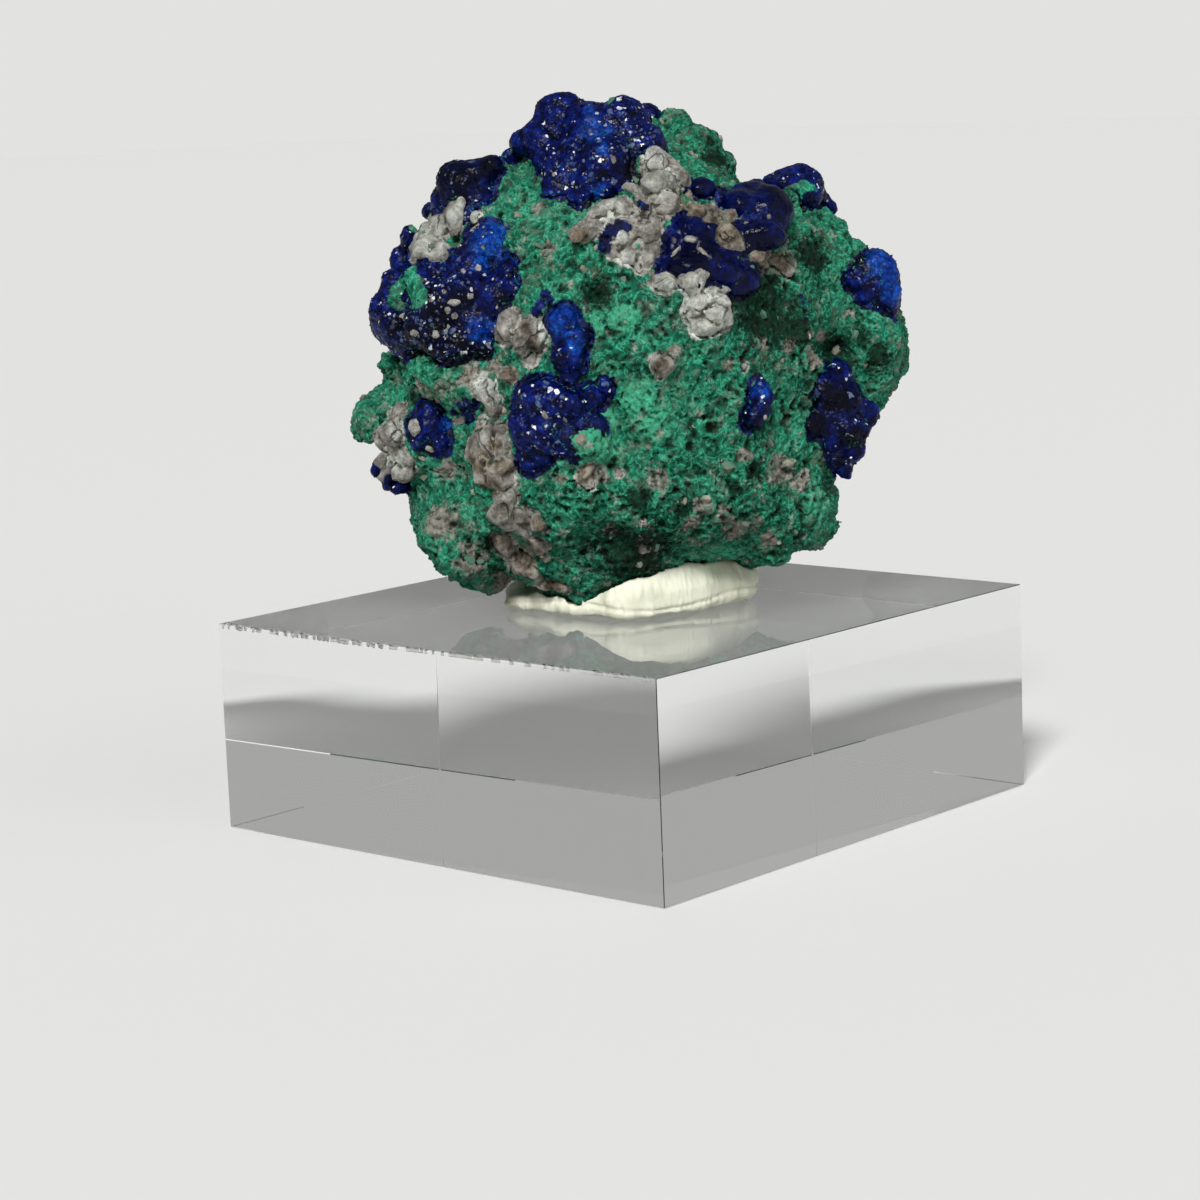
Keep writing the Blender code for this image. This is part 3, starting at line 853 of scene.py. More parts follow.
# lobes of azurite and lumps of rock as the photograph shows them:
# pixel x, pixel y, half width and half height in pixels, and turn in degrees
azuriteLobes = [
    (559, 118, 24, 26, 0), (522, 142, 12, 12, 0), (511, 156, 10, 8, 0), (531, 128, 7, 10, 0),
    (539, 140, 15, 13, 0), (590, 131, 24, 28, 0), (622, 125, 27, 27, 0), (643, 122, 19, 20, 0),
    (652, 142, 13, 18, 0), (575, 160, 20, 24, 0), (605, 162, 26, 24, 0), (638, 158, 20, 22, 0),
    (585, 190, 17, 22, 0), (607, 186, 18, 14, 0), (580, 207, 9, 11, 0), (632, 186, 14, 10, 0),
    (643, 206, 8, 6, -30),
    (459, 184, 23, 22, 0), (433, 211, 13, 12, 0), (478, 176, 20, 18, 0), (490, 167, 13, 13, 0),
    (446, 200, 15, 15, 0), (480, 200, 16, 14, 0), (468, 216, 18, 12, 0),
    (409, 238, 9, 15, 0), (400, 262, 9, 17, 0), (394, 284, 13, 17, 0), (386, 307, 17, 17, 0),
    (392, 325, 15, 15, 0), (490, 245, 23, 22, 0), (474, 266, 15, 14, 0), (508, 275, 13, 20, 0),
    (470, 291, 27, 20, 0), (440, 299, 26, 20, 0), (430, 328, 28, 19, 0), (470, 328, 29, 19, 0),
    (503, 305, 14, 18, 0), (450, 348, 26, 11, 0), (408, 335, 16, 14, 0), (488, 347, 15, 9, 0),
    (420, 284, 14, 14, 0), (514, 290, 9, 12, 30),
    (564, 317, 14, 11, 0), (577, 337, 14, 11, 0), (567, 358, 16, 10, 0),
    (545, 398, 27, 20, 0), (588, 395, 20, 15, 0), (528, 425, 19, 26, 0), (547, 429, 20, 20, 0),
    (534, 460, 15, 15, 0), (563, 406, 23, 17, 0), (604, 386, 11, 10, 0), (545, 456, 8, 10, 0),
    (432, 424, 19, 18, 0), (440, 441, 14, 12, 0), (425, 408, 10, 9, 0), (468, 398, 8, 11, 0),
    (472, 412, 8, 9, 0), (389, 484, 9, 7, 0), (400, 489, 10, 6, 0), (377, 470, 6, 10, 0),
    (702, 189, 14, 12, 0), (714, 200, 12, 13, 0), (742, 206, 21, 16, 0), (766, 214, 26, 27, 0),
    (760, 236, 26, 15, 0), (798, 191, 24, 27, 0), (816, 195, 12, 9, -40), (829, 206, 13, 9, -40),
    (787, 184, 14, 12, 0), (808, 181, 14, 14, 0),
    (690, 231, 21, 13, 0), (675, 250, 13, 21, 20), (666, 266, 11, 10, 0), (698, 250, 15, 18, 0),
    (690, 266, 20, 9, 0), (722, 271, 20, 14, -20), (742, 277, 19, 14, -20), (711, 258, 12, 13, 0),
    (730, 287, 17, 8, -10),
    (862, 268, 14, 12, 0), (853, 277, 12, 13, 0), (878, 270, 18, 20, 0), (889, 290, 13, 22, -8),
    (893, 308, 7, 14, 0),
    (828, 386, 14, 18, 0), (811, 423, 14, 14, 0), (821, 390, 13, 18, 0), (840, 402, 22, 22, 0),
    (820, 416, 18, 18, 0), (863, 412, 19, 14, -25), (850, 430, 21, 12, 0), (853, 445, 11, 17, 20),
    (843, 468, 8, 14, 25),
    (761, 392, 10, 14, 15), (754, 417, 12, 12, 0),
]
rockLumps = [
    (656, 163, 11, 17, 10), (659, 182, 19, 11, 5), (678, 175, 10, 6, -10), (632, 190, 13, 7, -25),
    (664, 205, 18, 12, 10), (648, 214, 9, 8, 0), (690, 200, 13, 13, 0), (697, 212, 12, 9, 0),
    (726, 218, 15, 12, 0), (728, 236, 15, 15, 0), (712, 210, 8, 8, 0), (740, 245, 7, 8, 0),
    (601, 211, 18, 9, 35), (622, 208, 15, 10, -30), (578, 235, 9, 11, 0), (591, 224, 8, 9, 30),
    (621, 238, 9, 9, 0), (628, 256, 11, 10, 0), (612, 252, 8, 7, 0), (647, 232, 15, 17, 0),
    (651, 256, 14, 20, -15), (640, 268, 9, 8, 0),
    (664, 284, 18, 10, 0), (694, 284, 13, 10, 0), (700, 273, 12, 5, -5), (722, 288, 12, 4, -15),
    (697, 307, 18, 15, 15), (716, 316, 17, 14, -20), (704, 326, 15, 10, 10), (720, 303, 12, 10, 0),
    (755, 256, 13, 7, -5), (775, 262, 12, 8, -10), (788, 272, 8, 8, 0),
    (440, 230, 13, 19, 15), (427, 250, 17, 15, 20), (443, 255, 13, 14, 10), (455, 217, 10, 10, 0),
    (477, 218, 7, 8, 0), (462, 202, 6, 7, 0),
    (508, 327, 13, 19, -10), (527, 334, 11, 19, -30), (545, 333, 10, 19, -28), (530, 361, 10, 9, 0),
    (487, 388, 15, 15, 0), (496, 405, 11, 12, 0), (508, 376, 12, 8, -30), (440, 380, 24, 8, 8),
    (475, 372, 14, 8, -20), (460, 376, 12, 7, 0), (457, 402, 7, 9, 0), (460, 417, 7, 8, 0),
    (450, 390, 6, 6, 0),
    (486, 440, 14, 22, -3), (504, 445, 12, 26, -3), (482, 468, 11, 18, 0), (500, 476, 15, 18, 0),
    (506, 496, 12, 12, 0), (500, 515, 13, 11, 0), (525, 515, 16, 13, 0), (541, 524, 11, 10, 0),
    (505, 542, 12, 18, 20), (522, 562, 13, 15, 30), (545, 583, 10, 8, 0), (562, 585, 10, 8, 0),
    (535, 574, 9, 8, 0), (540, 545, 10, 9, 0),
    (401, 413, 12, 11, 0), (392, 433, 14, 13, 0), (407, 456, 11, 12, 0), (393, 457, 11, 11, 0),
    (403, 474, 12, 10, 0), (386, 476, 11, 12, 0), (380, 462, 8, 9, 0), (415, 428, 8, 9, 0),
    (586, 473, 5, 15, -46), (618, 473, 5, 5, 0), (663, 364, 11, 9, -30), (641, 522, 6, 6, 0),
    (643, 548, 9, 8, 0), (764, 344, 5, 9, 0), (809, 336, 4, 8, 0), (743, 366, 7, 6, 0),
]

# crystals and slabs with clean faces, in the same way
sharpRocks = [
    (527, 334, 11, 20, -32), (545, 333, 9, 19, -30), (509, 328, 13, 19, -10), (586, 473, 5, 15, -46),
    (618, 473, 5, 5, 0), (663, 364, 12, 9, -30), (506, 496, 11, 11, 0), (659, 182, 18, 11, 5),
    (656, 162, 11, 16, 10), (633, 190, 13, 6, -25), (664, 204, 17, 12, 10), (647, 230, 13, 15, 0),
    (651, 256, 13, 19, -15), (621, 238, 8, 8, 0), (628, 256, 9, 8, 20), (436, 242, 18, 25, 16),
    (455, 217, 9, 9, 0), (477, 218, 7, 8, 0), (461, 203, 5, 7, 0),
    (487, 388, 14, 14, 0), (486, 440, 10, 20, -3), (504, 445, 11, 24, -3),
    (600, 211, 17, 7, 35), (622, 208, 14, 8, -30), (401, 413, 10, 9, 0), (392, 433, 12, 11, 0),
    (403, 473, 11, 9, 0), (696, 309, 14, 10, 25), (715, 313, 13, 12, -25), (705, 325, 12, 8, 10),
    (690, 280, 12, 8, 0), (545, 584, 9, 7, 0), (562, 586, 9, 7, 0), (691, 240, 8, 4, -8),
    (674, 254, 9, 2, 52), (704, 253, 9, 2, -42),
    (455, 302, 9, 4, 15), (415, 333, 5, 4, 0), (436, 335, 4, 5, 0),
    (431, 300, 3, 3, 0), (545, 415, 3, 5, 30), (764, 417, 3, 3, 0), (613, 160, 3, 4, 0),
]

# how balls are set on a group: sunk is a share of their depth, the hidden ones' size is a share of
# the group's own and at most hiddenMost, and there is one to so many square millimetres
lobes = {
    "level": 3, "cuts": 0, "sunk": 0.8, "uneven": 0.05,
    "hiddenSize": (0.3, 0.5), "hiddenMost": 1.5, "hiddenSunk": 1.1, "hiddenPerArea": 5,
}
lumps = {
    "level": 2, "cuts": 9, "cutAt": (0.66, 0.86), "sunk": 0.6, "uneven": 0.0,
    "hiddenSize": (0.25, 0.5), "hiddenMost": 1.4, "hiddenSunk": 0.9, "hiddenPerArea": 3,
}
rimPoints = 8  # points round a ball's outline that are tested, besides its middle
turnedAway = 0.1  # a face that looks away from the camera by more than this is hidden


def isCovered(place, size):
    # whether a ball here lies behind what the photograph shows
    across = camera.matrix_world.to_3x3() @ Vector((1, 0, 0))
    upward = camera.matrix_world.to_3x3() @ Vector((0, 1, 0))
    for step in range(rimPoints + 1):
        angle = step * 2 * math.pi / rimPoints
        outward = across * math.cos(angle) + upward * math.sin(angle)
        rim = place + outward * size * mm * (step < rimPoints)
        way = rim - camera.location
        hit = surface.ray_cast(camera.location, way.normalized())[0]
        if hit is None or (hit - camera.location).length > way.length - size * mm:
            return False
    return True


def hiddenPlaces(name, seen, plan, rng):
    # places on the sides of a group that the photograph doesn't show
    mesh = nodes[name].data
    areas = np.array([face.area for face in mesh.polygons])
    if seen:
        sights = [(face.center - camera.location).normalized() for face in mesh.polygons]
        facing = [face.normal.dot(sight) for face, sight in zip(mesh.polygons, sights)]
        areas = areas * (np.array(facing) > turnedAway)
    if areas.sum() == 0:
        return
    count = max(1, round(areas.sum() / mm**2 / plan["hiddenPerArea"]))
    reach = min(nodes[name].dimensions) / 2 / mm
    low, high = (min(share * reach, plan["hiddenMost"]) for share in plan["hiddenSize"])
    for index in rng.choice(len(areas), count, p=areas / areas.sum()):
        face = mesh.polygons[int(index)]
        wide, tall = rng.uniform(low, high, 2)
        spin = rng.uniform(0, 6.28)  # radians, any way round
        turn = face.normal.to_track_quat("Z", "Y") @ Quaternion((0, 0, 1), spin)
        place = face.center - face.normal * math.sqrt(wide * tall) * plan["hiddenSunk"] * mm
        if isCovered(place, max(wide, tall)):
            yield place, turn, wide, tall


def plannedPlaces(names, seen, plan, rng, built=None):
    # the lobes of each group: middle, turn and half sizes
    trees = {name: treeOf([nodes[name]]) for name in names}
    found = {name: [] for name in names}
    facing = camera.rotation_euler.to_quaternion()
    scale = photo["pixelsPerMm"]
    for x, y, wide, tall, turn in seen:
        place = spotAt(x, y, built)
        name = min(names, key=lambda name: trees[name].find_nearest(place)[3])
        turned = facing @ Quaternion((0, 0, 1), math.radians(turn))
        place += aimAt(x, y) * math.sqrt(wide * tall) / scale * plan["sunk"] * mm
        found[name].append((place, turned, wide / scale, tall / scale))
    for name in names:
        found[name] += list(hiddenPlaces(name, bool(found[name]), plan, rng))
    return found


def addLobes(piece, places, plan, rng):
    # joins an uneven ball to the piece at each place, most of it below the surface
    made = []
    for place, turn, wide, tall in places:
        deselectAll()
        bpy.ops.mesh.primitive_ico_sphere_add(subdivisions=plan["level"], radius=1, location=(0, 0, 0))
        lobe = bpy.context.object
        bpy.ops.object.mode_set(mode="EDIT")
        bpy.ops.transform.vertex_random(offset=plan["uneven"], seed=int(rng.integers(1, 999)))
        for _ in range(plan["cuts"]):
            way = Vector(rng.normal(0, 1, 3)).normalized()
            bpy.ops.mesh.select_all(action="SELECT")
            cut = way * rng.uniform(*plan["cutAt"])
            bpy.ops.mesh.bisect(plane_co=cut, plane_no=way, use_fill=True, clear_outer=True)
        bpy.ops.object.mode_set(mode="OBJECT")
        deep = math.sqrt(wide * tall)
        lobe.matrix_world = Matrix.LocRotScale(place, turn, Vector((wide, tall, deep)) * mm)
        bpy.ops.object.transform_apply(location=True, rotation=True, scale=True)
        made.append(lobe)
    joinTo(piece, made)


shapeRng = np.random.default_rng(5)
azuritePlaces = plannedPlaces(azuriteNames, azuriteLobes, lobes, shapeRng)
rockPlaces = plannedPlaces(paleNames, rockLumps, lumps, shapeRng)

azurite = {
    "voxel": 0.18,
    "joined": 0.3,  # the voxel that joins the lobes
    "core": -0.5,  # the solid's own surface is kept this far below the lobes
    "coreClear": -0.8,
    "melt": 26,  # smoothings that run the lobes into each other
    "meltLittle": 7,
    "regained": 0.12,  # what the smoothing took off
    "soften": 3,
    "softenGlassy": 9,
    "calmGlassy": 0.7,  # how much of the relief a glassy group has
    "swells": (2.4, 0.5),  # size and height
    "lumps": (0.9, 0.32),
    "crystals": (0.42, 0.12, 0.4),  # and the level of the texture that moves nothing
    "hollows": (14, 0.3),  # smoothings and height that tell the hollows, which get painted shade, from the crests
    "glassy": ["azurite_double_ball", "azurite_glossy_band", "azurite_back_pair"],
    "clear": [  # groups whose lobes stay apart
        "azurite_small_pair", "azurite_right_centre", "azurite_lower_left", "azurite_beside_cap",
        "azurite_left_underside", "azurite_glossy_band", "azurite_back_pair", "azurite_double_ball",
    ],
}


def makeAzurite(node):
    # balls of crystals run together, with swellings and the small ends of crystals on them
    piece = copyOfNode(node, node.replace("azurite_", "azuriteMass_"))
    glassy = node in azurite["glassy"]
    grow(piece, azurite["coreClear" if node in azurite["clear"] else "core"])
    addLobes(piece, azuritePlaces[node], lobes, shapeRng)
    remesh(piece, azurite["joined"])
    modify(piece, "SMOOTH", iterations=azurite["meltLittle" if node in azurite["clear"] else "melt"])
    grow(piece, azurite["regained"])
    remesh(piece, azurite["voxel"])
    modify(piece, "SMOOTH", iterations=azurite["softenGlassy" if glassy else "soften"])
    calm = azurite["calmGlassy"] if glassy else 1
    for form, depth in (("swells", 0), ("lumps", 2)):
        size, height = azurite[form]
        relief(piece, "CLOUDS", size, calm * height, noise_depth=depth)
    if not glassy:
        size, height, level = azurite["crystals"]
        relief(piece, "VORONOI", size, -height, level)
    giveAttribute(piece, "crest", creviceOf(piece, *azurite["hollows"]))
    paintPiece(piece, ["cobalt", "night", "green", "speckled", "pale", "white", "brown"])
    piece.data.shade_smooth()
    dress(piece, finishes["glassy" if glassy else "azurite"])
    return piece


azuriteMasses = [makeAzurite(name) for name in azuriteNames]
druses = [piece for piece, name in zip(azuriteMasses, azuriteNames) if name not in azurite["glassy"]]
print("azurite:", len(azuriteMasses), "groups", facesOf(azuriteMasses), "faces")

crystals = dict(lumps, sunk=0.4, hiddenPerArea=9)
crystalPlaces = plannedPlaces(paleNames, sharpRocks, crystals, shapeRng, treeOf(azuriteMasses))

rock = {
    "voxel": 0.15,
    "joined": 0.25,
    "core": -0.8,
    "coreSmooth": -0.1,
    "melt": 2,
    "rough": (1.6, 0.6),
    "facet": 1.15,  # size of the broken faces
    "chips": (0.7, 0.16, 0.5),  # size, height, and the level of the texture that moves nothing
    "grain": (0.3, 0.09, 0.35),
    "calmSmooth": 0.35,  # how much of that the smooth lumps have
    "hollows": (40, 0.5),
    "smooth": [
        "quartz_left_wedge", "quartz_shoulder_lumps", "quartz_blocky_crystal", "quartz_oval_grain",
        "quartz_tan_prism", "quartz_vein_top",
    ],
}


def makeRock(node):
    # broken rock: angular lumps grown together, chipped and grained
    piece = copyOfNode(node, node.replace("quartz_", "quartzMass_"))
    grow(piece, rock["coreSmooth" if node in rock["smooth"] else "core"])
    addLobes(piece, rockPlaces[node], lumps, shapeRng)
    remesh(piece, rock["joined"])
    modify(piece, "SMOOTH", iterations=rock["melt"])
    size, height = rock["rough"]
    relief(piece, "CLOUDS", size, height, noise_depth=3)
    area = sum(face.area for face in piece.data.polygons) / mm**2
    triangles = area / (rock["facet"] ** 2 * 0.43)  # 0.43 of its side's square: a triangle's area
    modify(piece, "DECIMATE", ratio=min(1, triangles / (2 * facesOf([piece]))))
    addLobes(piece, crystalPlaces[node], crystals, shapeRng)
    remesh(piece, rock["voxel"])
    calm = rock["calmSmooth"] if node in rock["smooth"] else 1
    for form in ("chips", "grain"):
        size, height, level = rock[form]
        relief(
            piece, "CLOUDS", size, -calm * height, level, noise_depth=2, noise_type="HARD_NOISE"
        )
    giveAttribute(piece, "crest", creviceOf(piece, *rock["hollows"]))
    paintPiece(piece, ["azurite", "green", "cobalt", "night", "white", "brown"])
    piece.data.shade_smooth()
    dress(piece, finishes["pale"])
    return piece


rockMasses = [makeRock(name) for name in paleNames]
print("pale rock:", len(rockMasses), "lumps", facesOf(rockMasses), "faces")

# the malachite crust, which climbs up the sides of all that is seated in it
crust = {
    "voxel": 0.16,
    "joined": 0.4,
    "melt": 14,
    "soften": (3, 4),  # smoothings before and after the fine voxels
    "closing": 0.25,  # how far the seated groups swell to meet the crust
    "near": 1.3,  # how far from them it follows them
    "full": 1.7,  # how soon it does so in full
    "sunk": 0.62,  # how far it lies below their surface
    "climb": 0.45,  # and how far it rises at their foot
    "crests": 1.0,  # the height between its holes, where the painted shade is darkest, and its crests, where there is none
    "fringe": 0.45,  # how far its green reaches on to them
    "fringeGreen": 0.75,
    "fringeSteep": 2,  # how soon it is full where the crust stands above them
    "blueEdge": 0.8,  # how far the blue of the azurite reaches on to the crust
    "paleEdge": 0.6,
    "formFade": 1.3,  # how far a form of crustForms fades out, in its own radii
    "lumps": (2.6, 1.0),  # size and height
    "sponge": (1.0, 0.95, 0.3),  # and the level of the texture that moves nothing
    "threads": (0.42, 0.32, 0.35),
    "patches": 3.5,  # size of the areas where the sponge is closer or more open
    "open": (0.62, 1.1),  # its usual openness and how much that varies
    "openLeast": 0.15,
    "calm": [(875, 350, 42), (715, 132, 42), (588, 442, 24), (850, 300, 20)],  # pixels and radius
    "calmShare": 0.7,  # how much of the sponge a calm place loses
    "calmFade": 1.4,
}

# hollows and swellings of the crust: pixel x, pixel y, radius in pixels and height in millimetres
crustForms = [
    (588, 440, 26, 1.8), (768, 312, 34, -1.3), (836, 350, 18, -1.4), (862, 372, 12, -0.9),
    (597, 294, 14, -1.4), (800, 208, 13, -1.5), (786, 203, 8, -1.3), (448, 238, 12, -1.0),
    (445, 222, 9, -0.8), (494, 545, 12, -1.2), (498, 575, 9, -1.0), (690, 445, 6, -0.6),
    (682, 512, 8, -0.7), (755, 470, 8, -0.7), (875, 335, 34, 0.7), (700, 112, 16, -1.0),
    (745, 176, 18, -3.0), (365, 420, 24, 1.0), (845, 515, 20, -1.4), (815, 545, 22, 1.5),
    (388, 362, 18, 2.0), (458, 380, 30, 2.2), (420, 376, 22, 1.8), (362, 438, 12, 0.8),
    (855, 232, 14, -0.9), (832, 489, 12, -2.2), (424, 560, 16, -0.6), (712, 124, 10, -0.6),
    (640, 400, 30, 0.5), (545, 245, 22, 0.5), (460, 560, 18, 0.4), (590, 550, 12, -0.6),
    (790, 380, 18, 0.5), (725, 350, 20, 0.5), (905, 370, 14, 0.5), (440, 590, 12, -0.6),
]


def formCrust(piece):
    # raises and sinks the crust where crustForms says
    points, normals = pointsOf(piece), pointsOf(piece, "normal")
    for x, y, radius, height in crustForms:
        away = awayFrom(points, spotAt(x, y), aimAt(x, y))
        share = np.clip(1 - away / (radius * crust["formFade"] / photo["pixelsPerMm"] * mm), 0, 1)
        points += normals * (share * share * (3 - 2 * share) * height * mm)[:, None]
    setPoints(piece, points)


def markSpongy(piece):
    # the sponge is open in some places and nearly closed in others
    group = piece.vertex_groups.new(name="spongy")
    points = pointsOf(piece)
    calm = np.ones(len(points))
    for x, y, radius in crust["calm"]:
        away = awayFrom(points, spotAt(x, y), aimAt(x, y)) / (radius / photo["pixelsPerMm"] * mm)
        calm *= 1 - crust["calmShare"] * np.clip(crust["calmFade"] - away, 0, 1)
    usual, varied = crust["open"]
    for index, point in enumerate(points.tolist()):
        level = noise.noise([c / (crust["patches"] * mm) for c in point])
        share = min(max(usual + level * varied, crust["openLeast"]), 1)
        group.add([index], share * calm[index], "REPLACE")


def coarseCopy(mass):
    # a seated group's own form, for the crust to follow
    seat = bpy.data.objects.new("seat", mass.data.copy())
    bpy.context.scene.collection.objects.link(seat)
    remesh(seat, crust["joined"])
    return seat


azuriteSeats = [coarseCopy(mass) for mass in azuriteMasses]
rockSeats = [coarseCopy(mass) for mass in rockMasses]
azuriteTree, paleTree = treeOf(azuriteSeats), treeOf(rockSeats)
for seat in azuriteSeats + rockSeats:
    grow(seat, crust["closing"])


def nearSeated(points, normals=None):
    # 1 on what is seated in the crust and close to it, and 0 further off
    trees = azuriteTree, paleTree
    near = np.maximum(*(nearness(points, tree, crust["near"], normals) for tree in trees))
    return np.clip(near * crust["full"], 0, 1)


def makeMatrix():
    # the crust's body, spongy and fibrous, with its marks for the colours
    piece = copyOfNode("malachite_matrix", "malachiteCrustBody")
    joinTo(piece, azuriteSeats + rockSeats)
    remesh(piece, crust["joined"])
    modify(piece, "SMOOTH", iterations=crust["melt"])
    points, normals = pointsOf(piece), pointsOf(piece, "normal")
    near, over = nearSeated(points), nearSeated(points, normals)
    step = near * (1 - over) * crust["climb"] - over * crust["sunk"]
    setPoints(piece, points + normals * step[:, None] * mm)
    formCrust(piece)
    modify(piece, "SMOOTH", iterations=crust["soften"][0])
    remesh(piece, crust["voxel"])
    modify(piece, "SMOOTH", iterations=crust["soften"][1])
    size, height = crust["lumps"]
    relief(piece, "CLOUDS", size, height, noise_depth=2)
    before, normals = pointsOf(piece), pointsOf(piece, "normal")
    markSpongy(piece)
    for form, depth, group in (("sponge", 1, "spongy"), ("threads", 0, "")):
        size, height, level = crust[form]
        relief(
            piece, "CLOUDS", size, -height, level, group, noise_depth=depth, noise_type="HARD_NOISE"
        )
    after = pointsOf(piece)
    giveAttribute(piece, "crest", crestOf(before, after, normals, crust["crests"]))
    for kind in ("mint", "tan", "paintedShade", "cobalt", "night", "white", "brown"):
        giveAttribute(piece, kind, shareOf(after, kind))
    near = np.maximum(shareOf(after, "azurite"), nearness(after, azuriteTree, crust["blueEdge"]))
    giveAttribute(piece, "azurite", near)
    giveAttribute(piece, "pale", nearness(after, paleTree, crust["paleEdge"]))
    piece.data.shade_smooth()
    return piece


def splitPiece(piece, name):
    # the eight octants of a mesh, so that none is too heavy, each closed where it was cut
    octants = []
    for sideX, sideY, sideZ in itertools.product((1, -1), repeat=3):
        label = ("East" if sideX > 0 else "West") + ("Back" if sideY > 0 else "Front")
        label += "Upper" if sideZ > 0 else "Lower"
        part = bpy.data.objects.new(name + label, piece.data.copy())
        bpy.context.scene.collection.objects.link(part)
        activate(part)
        bpy.ops.object.mode_set(mode="EDIT")
        for normal in ((sideX, 0, 0), (0, sideY, 0), (0, 0, sideZ)):
            bpy.ops.mesh.select_all(action="SELECT")
            bpy.ops.mesh.bisect(
                plane_co=heart, plane_no=normal, use_fill=True, clear_inner=True, threshold=cutWeld
            )
        bpy.ops.object.mode_set(mode="OBJECT")
        octants.append(part)
    return octants


matrixPiece = makeMatrix()
octants = splitPiece(matrixPiece, "malachite")
bpy.data.objects.remove(matrixPiece)


def addFringe(piece, tree):
    # green where the crust laps over a piece and a little way on from there
    points, normals = pointsOf(piece), pointsOf(piece, "normal")
    near = shareOf(points, "green")
    for i, point in enumerate(points.tolist()):
        place, _, _, away = tree.find_nearest(point, crust["fringe"] * mm)
        if away:
            above = (place - Vector(point)).dot(normals[i].tolist()) / away
            above = min(max(above * crust["fringeSteep"], 0), 1)
            lap = (1 - away / (crust["fringe"] * mm)) * above
            near[i] = max(near[i], lap * crust["fringeGreen"])
    piece.data.attributes["green"].data.foreach_set("value", near.astype(np.float32))


crustTree = treeOf(octants)
for piece in druses + rockMasses:
    addFringe(piece, crustTree)

for octant in octants:
    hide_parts("malachite_matrix")
    dress(octant, finishes["malachite"])
print("malachite:", len(octants), "octants", facesOf(octants), "faces")

# small crystals and grains, each modelled once and copied over the surfaces


def shapeOf(piece):
    # the points and triangles of a small modelled shape, which is then removed
    piece.data.calc_loop_triangles()
    points = pointsOf(piece).copy()
    corners = np.array([t.vertices[:] for t in piece.data.loop_triangles], np.int32)
    corners = corners[np.lexsort(corners.T)]  # extrude leaves its faces in no fixed order
    bpy.data.objects.remove(piece)
    return points, corners


bladeForm = {
    "section": (0.62, 0.4),  # width and depth of a blade whose sides are 1 long
    "wedge": 0.35,  # length of its end
    "endShare": (0.55, 0.25),  # how wide and deep that ends
    "endAside": (0.08, 0.02),
}
grainUneven = 0.14


def makeBlade():
    # a stubby azurite blade with a wedge-shaped end
    deselectAll()
    bpy.ops.mesh.primitive_cube_add(size=1, location=(0, 0, 0))
    piece = bpy.context.object
    bpy.ops.object.mode_set(mode="EDIT")
    bpy.ops.transform.resize(value=(*bladeForm["section"], 1))
    bpy.ops.mesh.select_all(action="DESELECT")
    bpy.ops.object.mode_set(mode="OBJECT")
    for face in piece.data.polygons:
        face.select = face.normal.z > 0.5
    bpy.ops.object.mode_set(mode="EDIT")
    bpy.ops.mesh.extrude_region_move(TRANSFORM_OT_translate={"value": (0, 0, bladeForm["wedge"])})
    bpy.ops.transform.resize(value=(*bladeForm["endShare"], 1))
    bpy.ops.transform.translate(value=(*bladeForm["endAside"], 0))
    bpy.ops.object.mode_set(mode="OBJECT")
    return shapeOf(piece)


def makeGrain():
    # an uneven grain 1 across
    deselectAll()
    bpy.ops.mesh.primitive_ico_sphere_add(subdivisions=1, radius=0.5, location=(0, 0, 0))
    piece = bpy.context.object
    bpy.ops.object.mode_set(mode="EDIT")
    bpy.ops.transform.vertex_random(offset=grainUneven, seed=3)
    bpy.ops.object.mode_set(mode="OBJECT")
    return shapeOf(piece)


def pickPlaces(pieces, count, weigh, rng):
    # places spread over the pieces by area, more of them where weigh says so
    starts, normals, weights = [], [], []
    for piece in pieces:
        mesh = piece.data
        mesh.calc_loop_triangles()
        corners = np.empty(len(mesh.loop_triangles) * 3, np.int32)
        mesh.loop_triangles.foreach_get("vertices", corners)
        corners = corners.reshape(-1, 3)
        points = pointsOf(piece)[corners]
        cross = np.cross(points[:, 1] - points[:, 0], points[:, 2] - points[:, 0])
        area = np.linalg.norm(cross, axis=1)
        starts.append(points)
        normals.append(cross / np.maximum(area, 1e-20)[:, None])
        weights.append(area * weigh(points[:, 0]))
    points, normals, weights = (np.concatenate(parts) for parts in (starts, normals, weights))
    pick = rng.choice(len(points), count, p=weights / weights.sum())
    along, across = rng.random(count), rng.random(count)
    over = along + across > 1
    along[over], across[over] = 1 - along[over], 1 - across[over]
    corners = points[pick]
    places = (
        corners[:, 0]
        + along[:, None] * (corners[:, 1] - corners[:, 0])
        + across[:, None] * (corners[:, 2] - corners[:, 0])
    )
    return places, normals[pick]


def scatter(name, shape, places, normals, sizes, tilt, rng, sink):
    # copies of a small shape as one mesh: sizes holds width, depth and length of each
    points, corners = shape
    count = len(places)
    up = normals + rng.normal(0, tilt, (count, 3))
    up /= np.linalg.norm(up, axis=1)[:, None]
    side = np.cross(up, rng.normal(0, 1, (count, 3)))
    side /= np.linalg.norm(side, axis=1)[:, None]
    front = np.cross(up, side)
    sizes = sizes * mm
    centres = places + normals * (0.5 - sink) * sizes[:, 2:3]
    made = (
        centres[:, None, :]
        + (points[None, :, 0:1] * sizes[:, None, 0:1]) * side[:, None, :]
        + (points[None, :, 1:2] * sizes[:, None, 1:2]) * front[:, None, :]
        + (points[None, :, 2:3] * sizes[:, None, 2:3]) * up[:, None, :]
    ).reshape(-1, 3)
    faces = (corners[None] + (np.arange(count) * len(points))[:, None, None]).reshape(-1, 3)
    mesh = bpy.data.meshes.new(name)
    mesh.from_pydata(made.tolist(), [], faces.tolist())
    piece = bpy.data.objects.new(name, mesh)
    bpy.context.scene.collection.objects.link(piece)
    return piece


